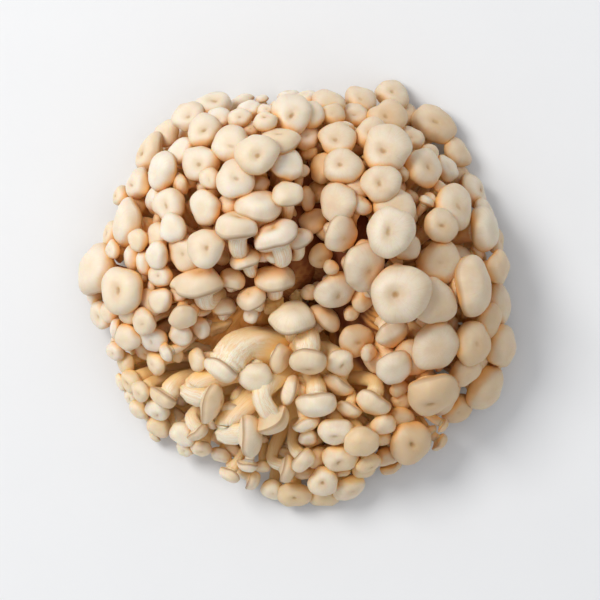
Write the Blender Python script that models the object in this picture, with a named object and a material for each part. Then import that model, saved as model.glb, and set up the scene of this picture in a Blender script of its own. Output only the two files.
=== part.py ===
"""A cluster of white beech mushrooms, cut at its foot and standing on a table.

Run it with:  blender --background --python part.py

Units are metres for the objects and millimetres for the named sizes. +Z is up and +Y is the back
of the cluster. The origin is the middle of the cut foot, on the table. Three bunches grow side by
side from the foot: left, right and front. Each bunch is one body: a butt with a flat cut face, and
the mushrooms that grow out of it, each a stem that flares into its cap.
"""

import math
import random
from dataclasses import dataclass

import bmesh
import bpy
import numpy as np
from mathutils import Vector, noise

MM = 0.001
SEED = 11

# The mound that the caps make together
CROWN_HEIGHT = 66.0       # how far the mound rises from its rim at the back
RIM_HEIGHT = 13.0         # height of the outermost caps' middles
FRONT_DROP = 0.36         # share of the rise that the front lacks
OUTLINE_RADIUS = 110.0    # the mound's mean plan radius
OUTLINE_WAVES = ((2, 0.035, 0.9), (3, 0.045, 1.5))  # order, share of the radius, phase in radians
TIER_DEPTH = 6.5          # how much lower each tier of caps sits

# Places where the mound swells or sinks: x, y, reach along x, reach along y, height
SWELLINGS = (
    (-26.0, 66.0, 30.0, 30.0, 9.0),    # left crest
    (50.0, 32.0, 26.0, 44.0, 10.0),    # right crest
    (2.0, 4.0, 19.0, 17.0, -27.0),     # pit over the foot
    (9.0, 52.0, 8.0, 22.0, -13.0),     # valley between left and right
)

# A mushroom's shape, as shares of its cap's radius
RIM = (1.05, 0.02)        # radius and height of the rim
SHOULDER = (0.83, 0.44)   # radius and height of the dome's shoulder
CROWN = 0.56              # height of the middle of the dome
NECK_DROP = 0.54          # from the rim's plane down to where the stem begins
NECK_SHARE = 0.36         # stem radius under the cap
OFF_CENTRE = 0.30         # how far the dimple and stem sit inward on the outermost caps
DROOP = 0.16              # how far the outer lip of such a cap hangs down
OVAL, WAVE = 0.05, 0.035  # how far a cap's outline leaves the circle

STEM_BALLS = (0.8, 1.3)   # how far below the rim's plane a stem pushes other caps away

STEM_LEAST, STEM_MOST = 1.9, 4.2
STEM_SIDES = {2: 4, 3: 5, 4: 6}   # for a stem of so many rings
LONG_STEM = 30.0          # a stem longer than this has a ring more, to bend at
# How much a stem swells at its foot, how steeply it leaves the core over the way to its cap,
# and the length of its Bezier handles as a share of its span
STEM_HABIT = (0.18, 0.0, 0.40)
THICK_HABIT = (0.55, 0.8, 0.56)
LEAST_CLEARANCE = 0.9     # between any cap and the table

# A bunch's core: stems grown together, from the cut foot up and outward
CORE_SPREAD = 16.0        # how closely the core follows single caps, as a fall-off of their pull
CORE_IDLE = 0.25          # pull of the butt's own radius, where there are no caps
CORE_LUMP = 2.0           # height of the lumps on it
CORE_FLARE = (0.02, 0.42) # sines of the elevations between which it widens from foot to full reach
FOOT_SUNK = 6.0           # how deep each stem's foot is sunk in the core
GAP = 0.35                # between one bunch and the next
CAP_GAP = 0.3             # sought between the caps of one bunch


@dataclass
class Mushroom:
    """One mushroom: where its cap is, how large it is and which way it faces."""

    x: float            # plan place of the cap's middle, mm
    y: float
    radius: float       # cap radius, mm
    lean: float         # degrees from facing straight up
    facing: float       # bearing that a leaning cap faces, degrees from +X towards +Y
    tier: float         # 0 lies in the mound's surface, and each tier is lower
    stem: float = 0.0   # stem radius in mm, or 0 for the usual share of the cap
    z: float = 0.0      # height of the cap's middle, which grow() works out


@dataclass
class Bunch:
    """One bunch: its butt's place and radius on the table, its core, its colour and its mushrooms."""

    name: str
    butt: tuple
    radius: float
    core: float         # how far its core reaches towards the caps, as a share
    colour: tuple
    mushrooms: list


# Each row is x, y, cap radius, lean, facing, tier, and the stem radius where it is a thick one
LEFT_ROWS = (
    # the far edge, from left to right
    (-44, 97, 10, 45, 95, 1), (-55.5, 92, 8.5, 25, 130, 0), (-41, 90, 7, 20, 100, 0),
    (-67.5, 84, 8, 45, 135, 1), (-47.5, 84, 9, 20, 120, 0), (-30, 90, 6, 25, 100, 0),
    (-25, 95, 6, 35, 90, 1), (-17, 94, 4.5, 40, 90, 1), (-25, 85, 4.5, 20, 90, 1),
    (-4.5, 92.5, 10.5, 12, 90, -0.5), (5.5, 91, 7.5, 25, 60, 0.5), (-16, 86, 6.5, 50, 100, 0),
    (3, 80, 7, 30, 80, 2),
    # the left crest
    (-9.5, 79.5, 10, 54, 95, 0), (-34, 76.5, 10, 15, 140, 0), (-21.5, 71.5, 10.5, 8, 90, -1),
    (-8, 66, 8.5, 30, 60, 0.5), (-31.5, 59, 10, 15, 100, -0.5), (-6, 53.5, 8, 42, 90, 0),
    (-20, 46, 11, 50, 85, 0), (-35, 48, 5.5, 30, 120, 1), (-48.5, 67.5, 9.5, 20, 160, 0),
    (-45, 60.5, 5.5, 15, 180, 0), (-46.5, 45.5, 9, 35, 200, 0), (-59, 74, 7.5, 30, 150, 0),
    # the outer left slope, from the back to the front
    (-75, 74, 10.5, 65, 165, 1), (-68.5, 64, 10, 50, 175, 0), (-80, 58, 8.5, 58, 175, 1),
    (-89.5, 52.5, 5.5, 60, 170, 2), (-59, 58, 6, 70, 200, 1), (-65, 47, 9, 30, 170, 0),
    (-72.5, 51, 6.5, 50, 180, 1), (-86.5, 37.5, 12, 66, 180, 1), (-83.5, 47.5, 6.5, 50, 150, 2),
    (-94.5, 33.5, 7, 60, 165, 2), (-62, 34, 7.5, 25, 180, 0), (-71, 31.5, 7, 40, 185, 0),
    (-80, 30, 6, 40, 180, 0), (-46.5, 25.5, 9.5, 8, 120, -1), (-58.5, 24, 9.5, 30, 190, 0),
    (-83, 21.5, 6.5, 72, 185, 1), (-78, 19, 6.5, 72, 185, 1), (-70.5, 22, 7, 35, 185, 0),
    (-93, 25.5, 5, 50, 180, 1), (-102, 15, 13.5, 56, 165, 1), (-69.5, 12, 6.5, 30, 190, 0),
    (-88, 5, 12.5, 35, 180, 0), (-103.5, 2, 5.5, 60, 190, 3), (-100, -7.5, 7.5, 45, 195, 3),
    (-96, -6.5, 5.5, 40, 195, 2), (-86.5, -5.5, 7, 30, 200, 0), (-78, -10, 7, 35, 215, 0),
    (-74.5, -2, 7, 30, 200, 1), (-69.5, 0.5, 6.5, 20, 190, 0), (-60, 3.5, 4.5, 20, 180, 1),
    (-85, -19.5, 7.5, 40, 210, 1), (-75, -18.5, 8, 40, 240, 1), (-92.5, -25.5, 5.5, 45, 210, 2),
    (-77.5, -25.5, 6, 45, 240, 3), (-59.5, -17, 6.5, 35, 240, 1), (-57.5, -8, 7.5, 50, 290, 0),
    # the side that looks into the pit, where stems show under the caps
    (-48.5, 9.5, 12.5, 62, 95, 0), (-30.5, 34.5, 11, 64, 88, 0), (-12.5, 32, 11.5, 64, 110, 0),
    (-1, 30, 7.5, 58, 100, 1), (-28, 21.5, 7.5, 58, 110, 1), (-12, 9.5, 10, 58, 88, 1),
    (-24, 0.5, 7.5, 48, 125, 1), (-35.5, 10.5, 6.5, 45, 70, 1.5), (-38.5, -3.5, 6.5, 60, 80, 2),
)
RIGHT_ROWS = (
    # the valley and the far edge, from left to right
    (14, 98.5, 8.5, 30, 90, 1), (15.5, 93.5, 6.5, 20, 90, 0.5), (32, 100.5, 8.5, 30, 80, 1),
    (27.5, 92.5, 7, 25, 90, 2), (48, 101.5, 9, 35, 80, 1), (51, 96, 7.5, 25, 70, 0.5),
    (44, 91.5, 10, 25, 95, 0), (35.5, 83, 8.5, 20, 110, 0), (18.5, 79, 9.5, 20, 120, 0),
    (21.5, 65, 10, 25, 110, 0), (28.5, 56, 6.5, 20, 90, 1), (18, 48, 10, 25, 170, 0),
    (11.5, 67, 7.5, 35, 170, 1), (5, 74, 4.5, 30, 120, 2), (8.5, 54, 6.5, 30, 150, 2),
    (3.5, 50, 6, 70, 0, 2), (7, 39.5, 7, 30, 120, 2),
    # the right crest
    (43, 75, 12.5, 12, 130, -1), (55.5, 81, 7, 30, 60, 1), (67.5, 89, 11.5, 35, 55, 0),
    (65, 74, 5, 30, 50, 1), (61.5, 66, 10.5, 38, 25, 0), (73.5, 66, 7, 40, 40, 1),
    (41, 57, 10, 15, 100, 0), (46, 46, 10.5, 15, 90, 0.5), (44.5, 33.5, 12.5, 8, 90, -1),
    (53, 26, 7, 15, 0, 1), (70, 36.5, 9, 22, 20, 0), (70, 18, 11.5, 18, 10, 0),
    (49.5, 3, 15, 8, 200, -1.5), (65.5, 0, 12, 20, 0, -0.5), (76.5, 46, 12, 38, 20, 0),
    # the outer right slope, from the back to the front
    (82, 73.5, 8.5, 50, 30, 1), (79.5, 66, 7.5, 50, 35, 1.5), (86.5, 54.5, 10, 65, 20, 1),
    (93, 41.5, 9, 62, 10, 1), (90, 36, 11, 55, 5, 1), (98.5, 30, 7.5, 65, 5, 2),
    (94, 17.5, 8.5, 50, 0, 1.5), (84, 6.5, 15, 62, 5, 0), (87.5, 11, 16, 68, 20, 1),
    (99, 14, 7.5, 60, 5, 2.5), (99.5, -2.5, 11, 60, 0, 2), (94, -11, 9, 50, 345, 1),
    (83, -22.5, 11, 35, 350, 0.5), (89, -31, 10, 45, 330, 1.5), (99, -24, 11, 55, 350, 2),
    (97, -31, 9, 55, 340, 3),
    # the near right corner, where caps lie over each other like tiles
    (68.5, -23.5, 12.5, 20, 320, 0), (56.5, -28.5, 10, 30, 270, 1), (63.5, -42, 13.5, 52, 278, 0.5),
    (70, -46, 13, 50, 290, 1.5), (84.5, -35.5, 8.5, 38, 310, 1), (48.5, -33.5, 9.5, 35, 280, 0.5),
    (38.5, -31, 6.5, 40, 250, 2), (65, -51.5, 10.5, 45, 280, 2.5), (67, -56.5, 8, 45, 285, 3.5),
    (78.5, -54, 8.5, 40, 300, 3), (91, -42.5, 12, 50, 325, 2.5), (51, -50.5, 5.5, 35, 270, 1.5),
    (55, -70.5, 11.5, 28, 310, 1.5), (55.5, -76, 6.5, 45, 290, 3), (50, -60, 7.5, 40, 280, 1.5),
    (42.5, -79, 6, 40, 290, 2.5),
    # the side that looks into the pit
    (31.5, 16.5, 12.5, 42, 330, 0.5, 3.5), (17.5, 5, 10.5, 42, 300, 1, 3.4), (20.5, 34, 9.5, 42, 320, 1),
    (10, 22, 6.5, 40, 290, 2), (12, 34, 5, 30, 180, 2.5), (9, 6, 3.5, 30, 250, 2.5),
    (31, 0, 6, 30, 0, 2.5), (28, -20.5, 9, 30, 320, 1.5), (46, -16.5, 8.5, 50, 300, 1, 3.4),
    (12, -9, 8.5, 65, 50, 1.5),
)
FRONT_ROWS = (
    # the thick stems that arch out of the pit, and their caps
    (-39, -34.5, 9.5, 74, 238, 0, 7.8), (5, -30, 10, 64, 270, 0, 5.0), (19, -31.5, 7.5, 35, 300, 1, 4.4),
    (-4, -9, 11, 54, 85, 0.5, 3.2), (-22.5, -38.5, 8.3, 20, 270, 0, 5.2),
    # the middle of the front
    (19.5, -41.5, 8, 74, 238, 1), (8.5, -51.5, 10, 62, 270, 0, 4.2), (24.5, -54.5, 6.5, 72, 245, 1),
    (36.5, -52, 9, 66, 245, 0.5, 3.6), (18, -66.5, 9, 46, 268, 0, 3.4), (30.5, -70, 8.8, 28, 280, 0),
    (20.5, -79.5, 9, 45, 265, 1), (41.5, -61, 6.5, 45, 290, 1), (42.5, -70, 4.5, 45, 290, 1.5),
    (34, -81.5, 6.5, 58, 300, 1), (33, -85.5, 7, 50, 300, 2.5), (4, -68.5, 5, 45, 280, 1.5),
    (3, -62, 7, 78, 290, 1), (-14, -60, 9.5, 112, 310, 0, 4.4), (-5, -45, 8, 76, 160, 1, 3.4),
    (-10, -29, 7.5, 60, 350, 1), (-25, -68, 11, 78, 5, 0, 4.6), (-33, -54, 7.5, 85, 266, 1.5, 3.4),
    # the near edge
    (11.5, -91, 8, 25, 270, 1), (25, -93.5, 8.5, 52, 305, 2), (1.5, -80, 6.5, 62, 320, 1, 2.8),
    (9, -79, 6, 40, 330, 2), (-3, -98.5, 8.5, 40, 270, 2), (-6.5, -85, 7.5, 80, 350, 1.5, 2.8),
    (-24, -90.5, 5.5, 75, 340, 2.5), (-13.5, -96, 6.5, 45, 265, 2.5), (12.5, -98.5, 8, 35, 270, 3),
    (-40, -78, 5.5, 55, 250, 3.5), (-32, -84, 5.5, 62, 262, 3.5), (-19, -84, 5, 70, 275, 3),
    # the near left corner, where long stems lie nearly level
    (-84.5, -40.5, 6.5, 50, 205, 2, 3.2), (-79.5, -45.5, 5.5, 40, 220, 1.5, 3.0),
    (-84.5, -49, 5.5, 50, 215, 3, 3.0), (-81, -54.5, 5.5, 50, 225, 3, 3.0),
    (-71.5, -54.5, 7, 56, 250, 2, 3.6), (-71, -63.5, 6.3, 25, 240, 3, 3.4),
    (-59, -67.5, 7, 35, 240, 2, 3.8), (-58, -75, 5, 45, 240, 3, 3.0), (-50, -74.5, 5.5, 50, 265, 2.5, 3.4),
    (-68.5, -49, 8, 84, 240, 1, 4.2), (-43.5, -51, 10, 76, 345, 0, 4.6), (-51, -66, 6, 84, 312, 1, 3.4),
    (-50.5, -30, 6.5, 60, 190, 1), (-88, -32, 6, 50, 205, 2.5), (-72, -31, 6.5, 55, 200, 2),
)

CREAM, PALE_CREAM, WARM_CREAM = (0.80, 0.66, 0.47), (0.84, 0.71, 0.53), (0.82, 0.67, 0.46)
BUNCHES = (
    Bunch("left_bunch", (-16.0, 11.0), 24.0, 0.76, PALE_CREAM, [Mushroom(*row) for row in LEFT_ROWS]),
    Bunch("right_bunch", (22.0, 9.0), 22.0, 0.78, CREAM, [Mushroom(*row) for row in RIGHT_ROWS]),
    Bunch("front_bunch", (-2.0, -24.0), 20.0, 0.70, WARM_CREAM, [Mushroom(*row) for row in FRONT_ROWS]),
)

# Mushrooms that stand low round the outside, one row over the other: count, height, inset, cap radius
SKIRT_ROWS = ((27, 9.0, 8.0, 6.8), (18, 22.0, 9.0, 7.0))
SKIRT_ROOM = 0.92         # share of two caps' radii that has to stay free round a skirt mushroom
SKIRT_COVER = 1.5         # and the furthest that it stands from under another cap, in that cap's radii
FRONT_SECTOR = (196.0, 308.0)   # bearings that the front bunch fills, degrees
BACK_BEARING = 86.0       # bearing where the left and right bunches meet


def outline_radius(bearing):
    """Plan radius of the mound's rim on a bearing in radians."""
    waves = sum(share * math.cos(order * bearing + phase) for order, share, phase in OUTLINE_WAVES)
    return OUTLINE_RADIUS * (1 + waves)


def mound_height(x, y):
    """Height of the mound's surface over the point x, y of the table."""
    bearing = math.atan2(y, x)
    reach = min(1.0, math.hypot(x, y) / outline_radius(bearing))
    frontness = min(1.0, max(0.0, 0.5 - 0.8 * math.sin(bearing))) * min(1.0, math.hypot(x, y) / 30.0)
    height = RIM_HEIGHT + CROWN_HEIGHT * (1 - FRONT_DROP * frontness) * math.sqrt(1 - reach * reach)
    for centre_x, centre_y, reach_x, reach_y, swell in SWELLINGS:
        share = ((x - centre_x) / reach_x) ** 2 + ((y - centre_y) / reach_y) ** 2
        height += swell * math.exp(-share)
    return height


def bunch_at(bearing):
    """The index of the bunch that fills a bearing in degrees."""
    bearing %= 360
    if FRONT_SECTOR[0] < bearing < FRONT_SECTOR[1]:
        return 2
    return 0 if BACK_BEARING < bearing < FRONT_SECTOR[1] else 1


def add_skirt(rng):
    """Adds the low mushrooms round the outside, wherever the listed caps leave room for one."""
    everything = [m for bunch in BUNCHES for m in bunch.mushrooms]
    for row, (count, height, inset, radius) in enumerate(SKIRT_ROWS):
        for step in range(count):
            bearing = 360 * (step + 0.5 * row) / count + rng.uniform(-3, 3)
            cap_radius = radius * rng.uniform(0.8, 1.15)
            reach = outline_radius(math.radians(bearing)) - inset - rng.uniform(0, 3)
            x, y = reach * math.cos(math.radians(bearing)), reach * math.sin(math.radians(bearing))
            spot = Vector((x, y, height))
            gaps = [
                (Vector((m.x, m.y, m.z)) - spot).length / (m.radius + cap_radius) for m in everything
            ]
            cover = min(math.hypot(m.x - x, m.y - y) / m.radius for m in everything)
            if min(gaps) < SKIRT_ROOM or cover > SKIRT_COVER:
                continue
            lean = rng.uniform(62, 82) + (10 if row == 0 else 0)
            fresh = Mushroom(x, y, cap_radius, lean, bearing + rng.uniform(-14, 14), 0, 0, height)
            BUNCHES[bunch_at(bearing)].mushrooms.append(fresh)
            everything.append(fresh)


def axis_of(m):
    """The direction that a cap faces."""
    lean, facing = math.radians(m.lean), math.radians(m.facing)
    return Vector((math.sin(lean) * math.cos(facing), math.sin(lean) * math.sin(facing), math.cos(lean)))


def outward_of(m):
    """The direction in a cap's rim plane that points away from the cluster's middle."""
    axis = axis_of(m)
    away = Vector((m.x, m.y, 0.0)).normalized() + Vector((0, 0, -0.2))
    away -= axis * away.dot(axis)
    if away.length < 0.2:
        away = Vector((0, 0, 1)) - axis * axis.z
    return away.normalized()


def keep_off_table(m):
    """Lifts a cap whose rim would come too near the table."""
    drop = m.radius * math.sin(math.radians(m.lean))
    m.z = max(m.z, drop * (1 + DROOP) + LEAST_CLEARANCE + 0.5)


def balls_of(m):
    """Balls that fill a mushroom's cap and the top of its stem, as rows of x, y, z, radius."""
    axis, along = axis_of(m), outward_of(m)
    across = axis.cross(along)
    middle = Vector((m.x, m.y, m.z))
    neck = middle - along * (eccentricity(m) * m.radius)
    rows = [(*(middle + axis * (0.08 * m.radius)), 0.42 * m.radius)]
    for step in range(6):
        turn = math.tau * step / 6
        side = along * math.cos(turn) + across * math.sin(turn)
        rows.append((*(middle + (side * 0.72 + axis * 0.12) * m.radius), 0.31 * m.radius))
    rows += [(*(neck - axis * (drop * m.radius)), 0.30 * m.radius) for drop in STEM_BALLS]
    return rows


def settle(rounds=130, free_rounds=30, spring=0.025):
    """Moves caps that run into each other apart, mostly up and down, and holds each near its place.

    In the last rounds, the free ones, nothing draws a cap back to its place.
    """
    everything = [m for bunch in BUNCHES for m in bunch.mushrooms]
    owner = np.repeat(np.arange(len(everything)), len(balls_of(everything[0])))
    home = np.array([(m.x, m.y, m.z) for m in everything])
    bunch_of = np.array([b for b, bunch in enumerate(BUNCHES) for _ in bunch.mushrooms])
    apart = np.where(bunch_of[owner][:, None] == bunch_of[owner][None, :], CAP_GAP, 2 * GAP)
    same = owner[:, None] == owner[None, :]
    for round_number in range(rounds):
        balls = np.array([row for m in everything for row in balls_of(m)])
        reach = balls[:, None, 3] + balls[None, :, 3] + apart
        first, second = np.nonzero(
            (np.abs(balls[:, None, 0] - balls[None, :, 0]) < reach)
            & (np.abs(balls[:, None, 1] - balls[None, :, 1]) < reach)
            & ~same
        )
        between = balls[first, :3] - balls[second, :3]
        distance = np.maximum(np.linalg.norm(between, axis=1), 1e-6)
        overlap = np.maximum(0.0, reach[first, second] - distance)
        push = between / distance[:, None] * (0.2 * overlap)[:, None] * np.array([0.45, 0.45, 1.0])
        moves = np.zeros_like(home)
        np.add.at(moves, owner[first], push)
        places = np.array([(m.x, m.y, m.z) for m in everything])
        drawn = spring if round_number < rounds - free_rounds else 0.0
        places += np.clip(moves, -1.5, 1.5) + drawn * (home - places) * np.array([1.0, 1.0, 0.4])
        for m, place in zip(everything, places):
            m.x, m.y, m.z = (float(value) for value in place)
            keep_off_table(m)


def grow():
    """Gives every mushroom its height, adds the skirt, and settles the caps against each other."""
    rng = random.Random(SEED)
    for bunch in BUNCHES:
        for m in bunch.mushrooms:
            m.z = mound_height(m.x, m.y) - TIER_DEPTH * m.tier - 0.25 * m.radius
            keep_off_table(m)
    add_skirt(rng)
    settle()


def core_reach(bunch, direction):
    """How far a bunch's core reaches from the butt's middle on the table, in a unit direction."""
    butt = Vector((*bunch.butt, 0.0))
    pull, total = CORE_IDLE * bunch.radius / bunch.core, CORE_IDLE
    for m in bunch.mushrooms:
        to_cap = Vector((m.x, m.y, m.z)) - butt
        share = math.exp(CORE_SPREAD * (direction.dot(to_cap.normalized()) - 1))
        pull += share * to_cap.length
        total += share
    low, high = CORE_FLARE
    flare = min(1.0, max(0.0, (direction.z - low) / (high - low)))
    full = max(bunch.radius, bunch.core * pull / total)
    return bunch.radius + (full - bunch.radius) * flare * flare * (3 - 2 * flare)


def habit_of(m):
    """A stem's swelling, rise and bend: the thick ones arch up out of the pit."""
    return THICK_HABIT if m.stem > STEM_MOST else STEM_HABIT


def stem_path(bunch, m):
    """A stem's Bezier points from its foot in the core to the cap's neck, and its radius."""
    radius = m.stem or min(STEM_MOST, max(STEM_LEAST, NECK_SHARE * m.radius))
    swelling, rise, bend = habit_of(m)
    inward = eccentricity(m) * m.radius
    neck = Vector((m.x, m.y, m.z)) - axis_of(m) * (NECK_DROP * m.radius) - outward_of(m) * inward
    butt = Vector((*bunch.butt, 0.0))
    out = ((neck - butt).normalized() + Vector((0, 0, rise))).normalized()
    root = butt + out * (core_reach(bunch, out) - FOOT_SUNK - 0.5 * radius)
    root.z = max(root.z, radius * (1 + swelling) + 0.8)
    axis, handle = axis_of(m), bend * (neck - root).length
    room = (neck.z - radius - 1.0) / max(axis.z, 0.05)
    return [root, root + out * handle, neck - axis * max(0.5, min(handle, room)), neck], radius


def bezier(points, t):
    """The point at t of a cubic Bezier."""
    a, b, c, d = points
    s = 1 - t
    return a * s**3 + b * (3 * s * s * t) + c * (3 * s * t * t) + d * t**3


def bezier_direction(points, t):
    """The unit tangent at t of a cubic Bezier."""
    a, b, c, d = points
    s = 1 - t
    return ((b - a) * (s * s) + (c - b) * (2 * s * t) + (d - c) * (t * t)).normalized()


def eccentricity(m):
    """How far off its middle a cap's dimple and stem sit, as a share of its radius."""
    return OFF_CENTRE * min(1.0, math.hypot(m.x, m.y) / OUTLINE_RADIUS)


def turned_mushroom(sides, stem_rings):
    """The mesh that every mushroom with so many sides copies: rings turned about Z, one unit apart.

    The stem's corners close up to its own few sides, where they merge. Ring 0 is the foot's pole.
    The stem's rings follow, then the rim, the shoulder and the crown's pole.
    """
    mesh = bmesh.new()
    last = stem_rings + 3
    profile = [
        mesh.verts.new((0.0 if ring in (0, last) else 1.0, 0.0, float(ring))) for ring in range(last + 1)
    ]
    edges = [mesh.edges.new(pair) for pair in zip(profile, profile[1:])]
    bmesh.ops.spin(
        mesh, geom=profile + edges, axis=(0, 0, 1), cent=(0, 0, 0),
        angle=math.tau, steps=sides, use_merge=True,
    )
    for vertex in mesh.verts:
        if 0.5 < vertex.co.z < stem_rings + 0.5:
            step = round(math.atan2(vertex.co.y, vertex.co.x) * STEM_SIDES[stem_rings] / math.tau)
            turn = step * math.tau / STEM_SIDES[stem_rings]
            vertex.co.x, vertex.co.y = math.cos(turn), math.sin(turn)
    bmesh.ops.remove_doubles(mesh, verts=mesh.verts, dist=1e-4)
    bmesh.ops.recalc_face_normals(mesh, faces=mesh.faces)
    bmesh.ops.triangulate(mesh, faces=mesh.faces)
    master = bpy.data.meshes.new(f"turned_{sides}_{stem_rings}")
    mesh.to_mesh(master)
    mesh.free()
    return master


def shape_mushroom(mesh, path, stem, m, stem_rings, grown):
    """Moves a turned mesh's rings on to the mushroom's stem and cap. Grown swells it by that many mm."""
    axis, along = axis_of(m), outward_of(m)
    across = axis.cross(along)
    rng = random.Random(f"{m.radius} {m.lean} {m.facing}")
    oval, wave = rng.uniform(0, math.tau), rng.uniform(0, math.tau)
    inward = eccentricity(m)
    middle = Vector((m.x, m.y, m.z))
    last = stem_rings + 3
    cap_rings = {last - 2: RIM, last - 1: SHOULDER, last: (0.0, CROWN)}
    for vertex in mesh.vertices:
        ring = round(vertex.co.z)
        turn = math.atan2(vertex.co.y, vertex.co.x) if ring not in (0, last) else 0.0
        if ring <= stem_rings:
            t = max(0, ring - 1) / (stem_rings - 1)
            tangent = bezier_direction(path, t)
            side = (along - tangent * along.dot(tangent)).normalized()
            width = 0.0 if ring == 0 else stem * (1 + habit_of(m)[0] * (1 - t)) + grown
            place = bezier(path, t) - tangent * (grown if ring <= 1 else 0)
            place += (side * math.cos(turn) + tangent.cross(side) * math.sin(turn)) * width
        else:
            share, height = cap_rings[ring]
            outline = 1 + OVAL * math.cos(2 * turn + oval) + WAVE * math.cos(3 * turn + wave)
            reach = share * m.radius * outline + (grown if share else 0)
            lip = DROOP * share * share * max(0.0, math.cos(turn)) * inward / OFF_CENTRE
            lift = grown if ring > last - 2 else -0.4 * grown
            place = middle + axis * ((height - lip) * m.radius + lift)
            place += (along * math.cos(turn) + across * math.sin(turn)) * reach
            place -= along * (inward * m.radius * max(0.0, 1 - share))
        vertex.co = place * MM


def sides_of(m):
    """Few sides on a small mushroom, more on a large one."""
    return 5 if m.radius < 5.2 else 6 if m.radius < 8.6 else 7 if m.radius < 12.2 else 8


def mushroom_object(masters, bunch, m, name, grown=0.0):
    """One mushroom as an object of its own."""
    path, stem = stem_path(bunch, m)
    stem_rings = 4 if m.stem else 3 if (path[3] - path[0]).length > LONG_STEM else 2
    key = (sides_of(m), stem_rings)
    if key not in masters:
        masters[key] = turned_mushroom(*key)
    mesh = masters[key].copy()
    shape_mushroom(mesh, path, stem, m, stem_rings, grown)
    return bpy.data.objects.new(name, mesh)


def core_object(bunch, name, grown=0.0):
    """A bunch's core, with its flat cut foot on the table."""
    mesh = bmesh.new()
    bmesh.ops.create_uvsphere(mesh, u_segments=14, v_segments=8, radius=1.0)
    bmesh.ops.bisect_plane(
        mesh, geom=mesh.verts[:] + mesh.edges[:] + mesh.faces[:], dist=1e-5,
        plane_co=(0, 0, 0), plane_no=(0, 0, -1), clear_outer=True,
    )
    bmesh.ops.contextual_create(mesh, geom=[edge for edge in mesh.edges if edge.is_boundary])
    butt = Vector((*bunch.butt, 0.0))
    for vertex in mesh.verts:
        direction = vertex.co.normalized()
        flat = abs(direction.z) < 1e-4
        lump = 0.0 if flat else CORE_LUMP * noise.noise(direction * 3.1 + butt)
        place = butt + direction * (core_reach(bunch, direction) + lump + grown)
        place.z -= 2 * grown if flat else 0.0
        vertex.co = place * MM
    bmesh.ops.triangulate(mesh, faces=mesh.faces)
    data = bpy.data.meshes.new(name)
    mesh.to_mesh(data)
    mesh.free()
    return bpy.data.objects.new(name, data)


def join_all(base, others, operation):
    """Applies one MANIFOLD Boolean of base with a collection of the others, which it then removes."""
    group = bpy.data.collections.new(f"{base.name}_{operation}")
    bpy.context.scene.collection.children.link(group)
    for other in others:
        group.objects.link(other)
    boolean = base.modifiers.new("join", "BOOLEAN")
    boolean.operation = operation
    boolean.operand_type = "COLLECTION"
    boolean.collection = group
    boolean.solver = "MANIFOLD"
    bpy.context.view_layer.update()
    result = bpy.data.meshes.new_from_object(base.evaluated_get(bpy.context.evaluated_depsgraph_get()))
    base.modifiers.clear()
    base.data = result
    for other in others:
        bpy.data.objects.remove(other)
    bpy.data.collections.remove(group)


def drop_scraps(base):
    """Keeps only the largest body of a mesh."""
    mesh = bmesh.new()
    mesh.from_mesh(base.data)
    left, bodies = set(mesh.verts), []
    while left:
        body, edge = set(), [left.pop()]
        while edge:
            vertex = edge.pop()
            body.add(vertex)
            edge += [other for link in vertex.link_edges if (other := link.other_vert(vertex)) in left]
            left.difference_update(edge)
        bodies.append(body)
    largest = max(bodies, key=len)
    bmesh.ops.delete(mesh, geom=[v for body in bodies if body is not largest for v in body], context="VERTS")
    mesh.to_mesh(base.data)
    mesh.free()
    return len(bodies) - 1


def reaches(m, bunch, other):
    """Whether a mushroom comes near the other bunch's caps or butt, so that it has to be cut clear."""
    middle = Vector((m.x, m.y, m.z))
    near_cap = any(
        (Vector((n.x, n.y, n.z)) - middle).length < 2.6 * (m.radius + n.radius) for n in other.mushrooms
    )
    return near_cap or (Vector((m.x, m.y)) - Vector(other.butt)).length < 2.2 * other.radius


def finish_of(bunch):
    """A bunch's own material: matt, pale mushroom skin."""
    material = bpy.data.materials.new(f"{bunch.name}_skin")
    material.use_nodes = True
    shader = material.node_tree.nodes["Principled BSDF"]
    shader.inputs["Base Color"].default_value = (*bunch.colour, 1.0)
    shader.inputs["Roughness"].default_value = 0.6
    shader.inputs["Metallic"].default_value = 0.0
    return material


def build():
    """Grows the cluster and makes one object for each bunch."""
    for old in list(bpy.data.objects):
        bpy.data.objects.remove(old)
    cluster = bpy.data.collections.new("mushroom_cluster")
    bpy.context.scene.collection.children.link(cluster)
    grow()
    masters = {}
    for index, bunch in enumerate(BUNCHES):
        base = core_object(bunch, bunch.name)
        cluster.objects.link(base)
        join_all(
            base,
            [mushroom_object(masters, bunch, m, f"mushroom_{n}") for n, m in enumerate(bunch.mushrooms)],
            "UNION",
        )
        for other in BUNCHES[:index]:
            cutters = [core_object(other, "core_cutter", GAP)]
            cutters += [
                mushroom_object(masters, other, m, "cutter", GAP)
                for m in other.mushrooms
                if reaches(m, other, bunch)
            ]
            join_all(base, cutters, "DIFFERENCE")
        scraps = drop_scraps(base)
        base.data.materials.clear()
        base.data.materials.append(finish_of(bunch))
        print(f"{bunch.name}: {len(bunch.mushrooms)} mushrooms, {scraps} scraps dropped")


build()
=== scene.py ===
"""The looks of a cluster of white beech mushrooms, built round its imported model.

Each of the cluster's three bunches is made of finer pieces that replace its plain solid: the caps, with
their dimples and gills, the stems, and the core of stems grown together, down to the cut foot. Young
mushrooms in the pockets and torn scraps of flesh are added. Sizes are in millimetres up to the point
where a mesh is written, and the frame is in metres. +Z is up and +Y is the back of the cluster, which is
the top of the picture.
"""

import logging
import math
import random
from dataclasses import dataclass, field
from enum import Enum
from typing import Any, Callable, Optional, Union

import bpy
import numpy as np
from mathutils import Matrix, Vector, noise


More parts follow.
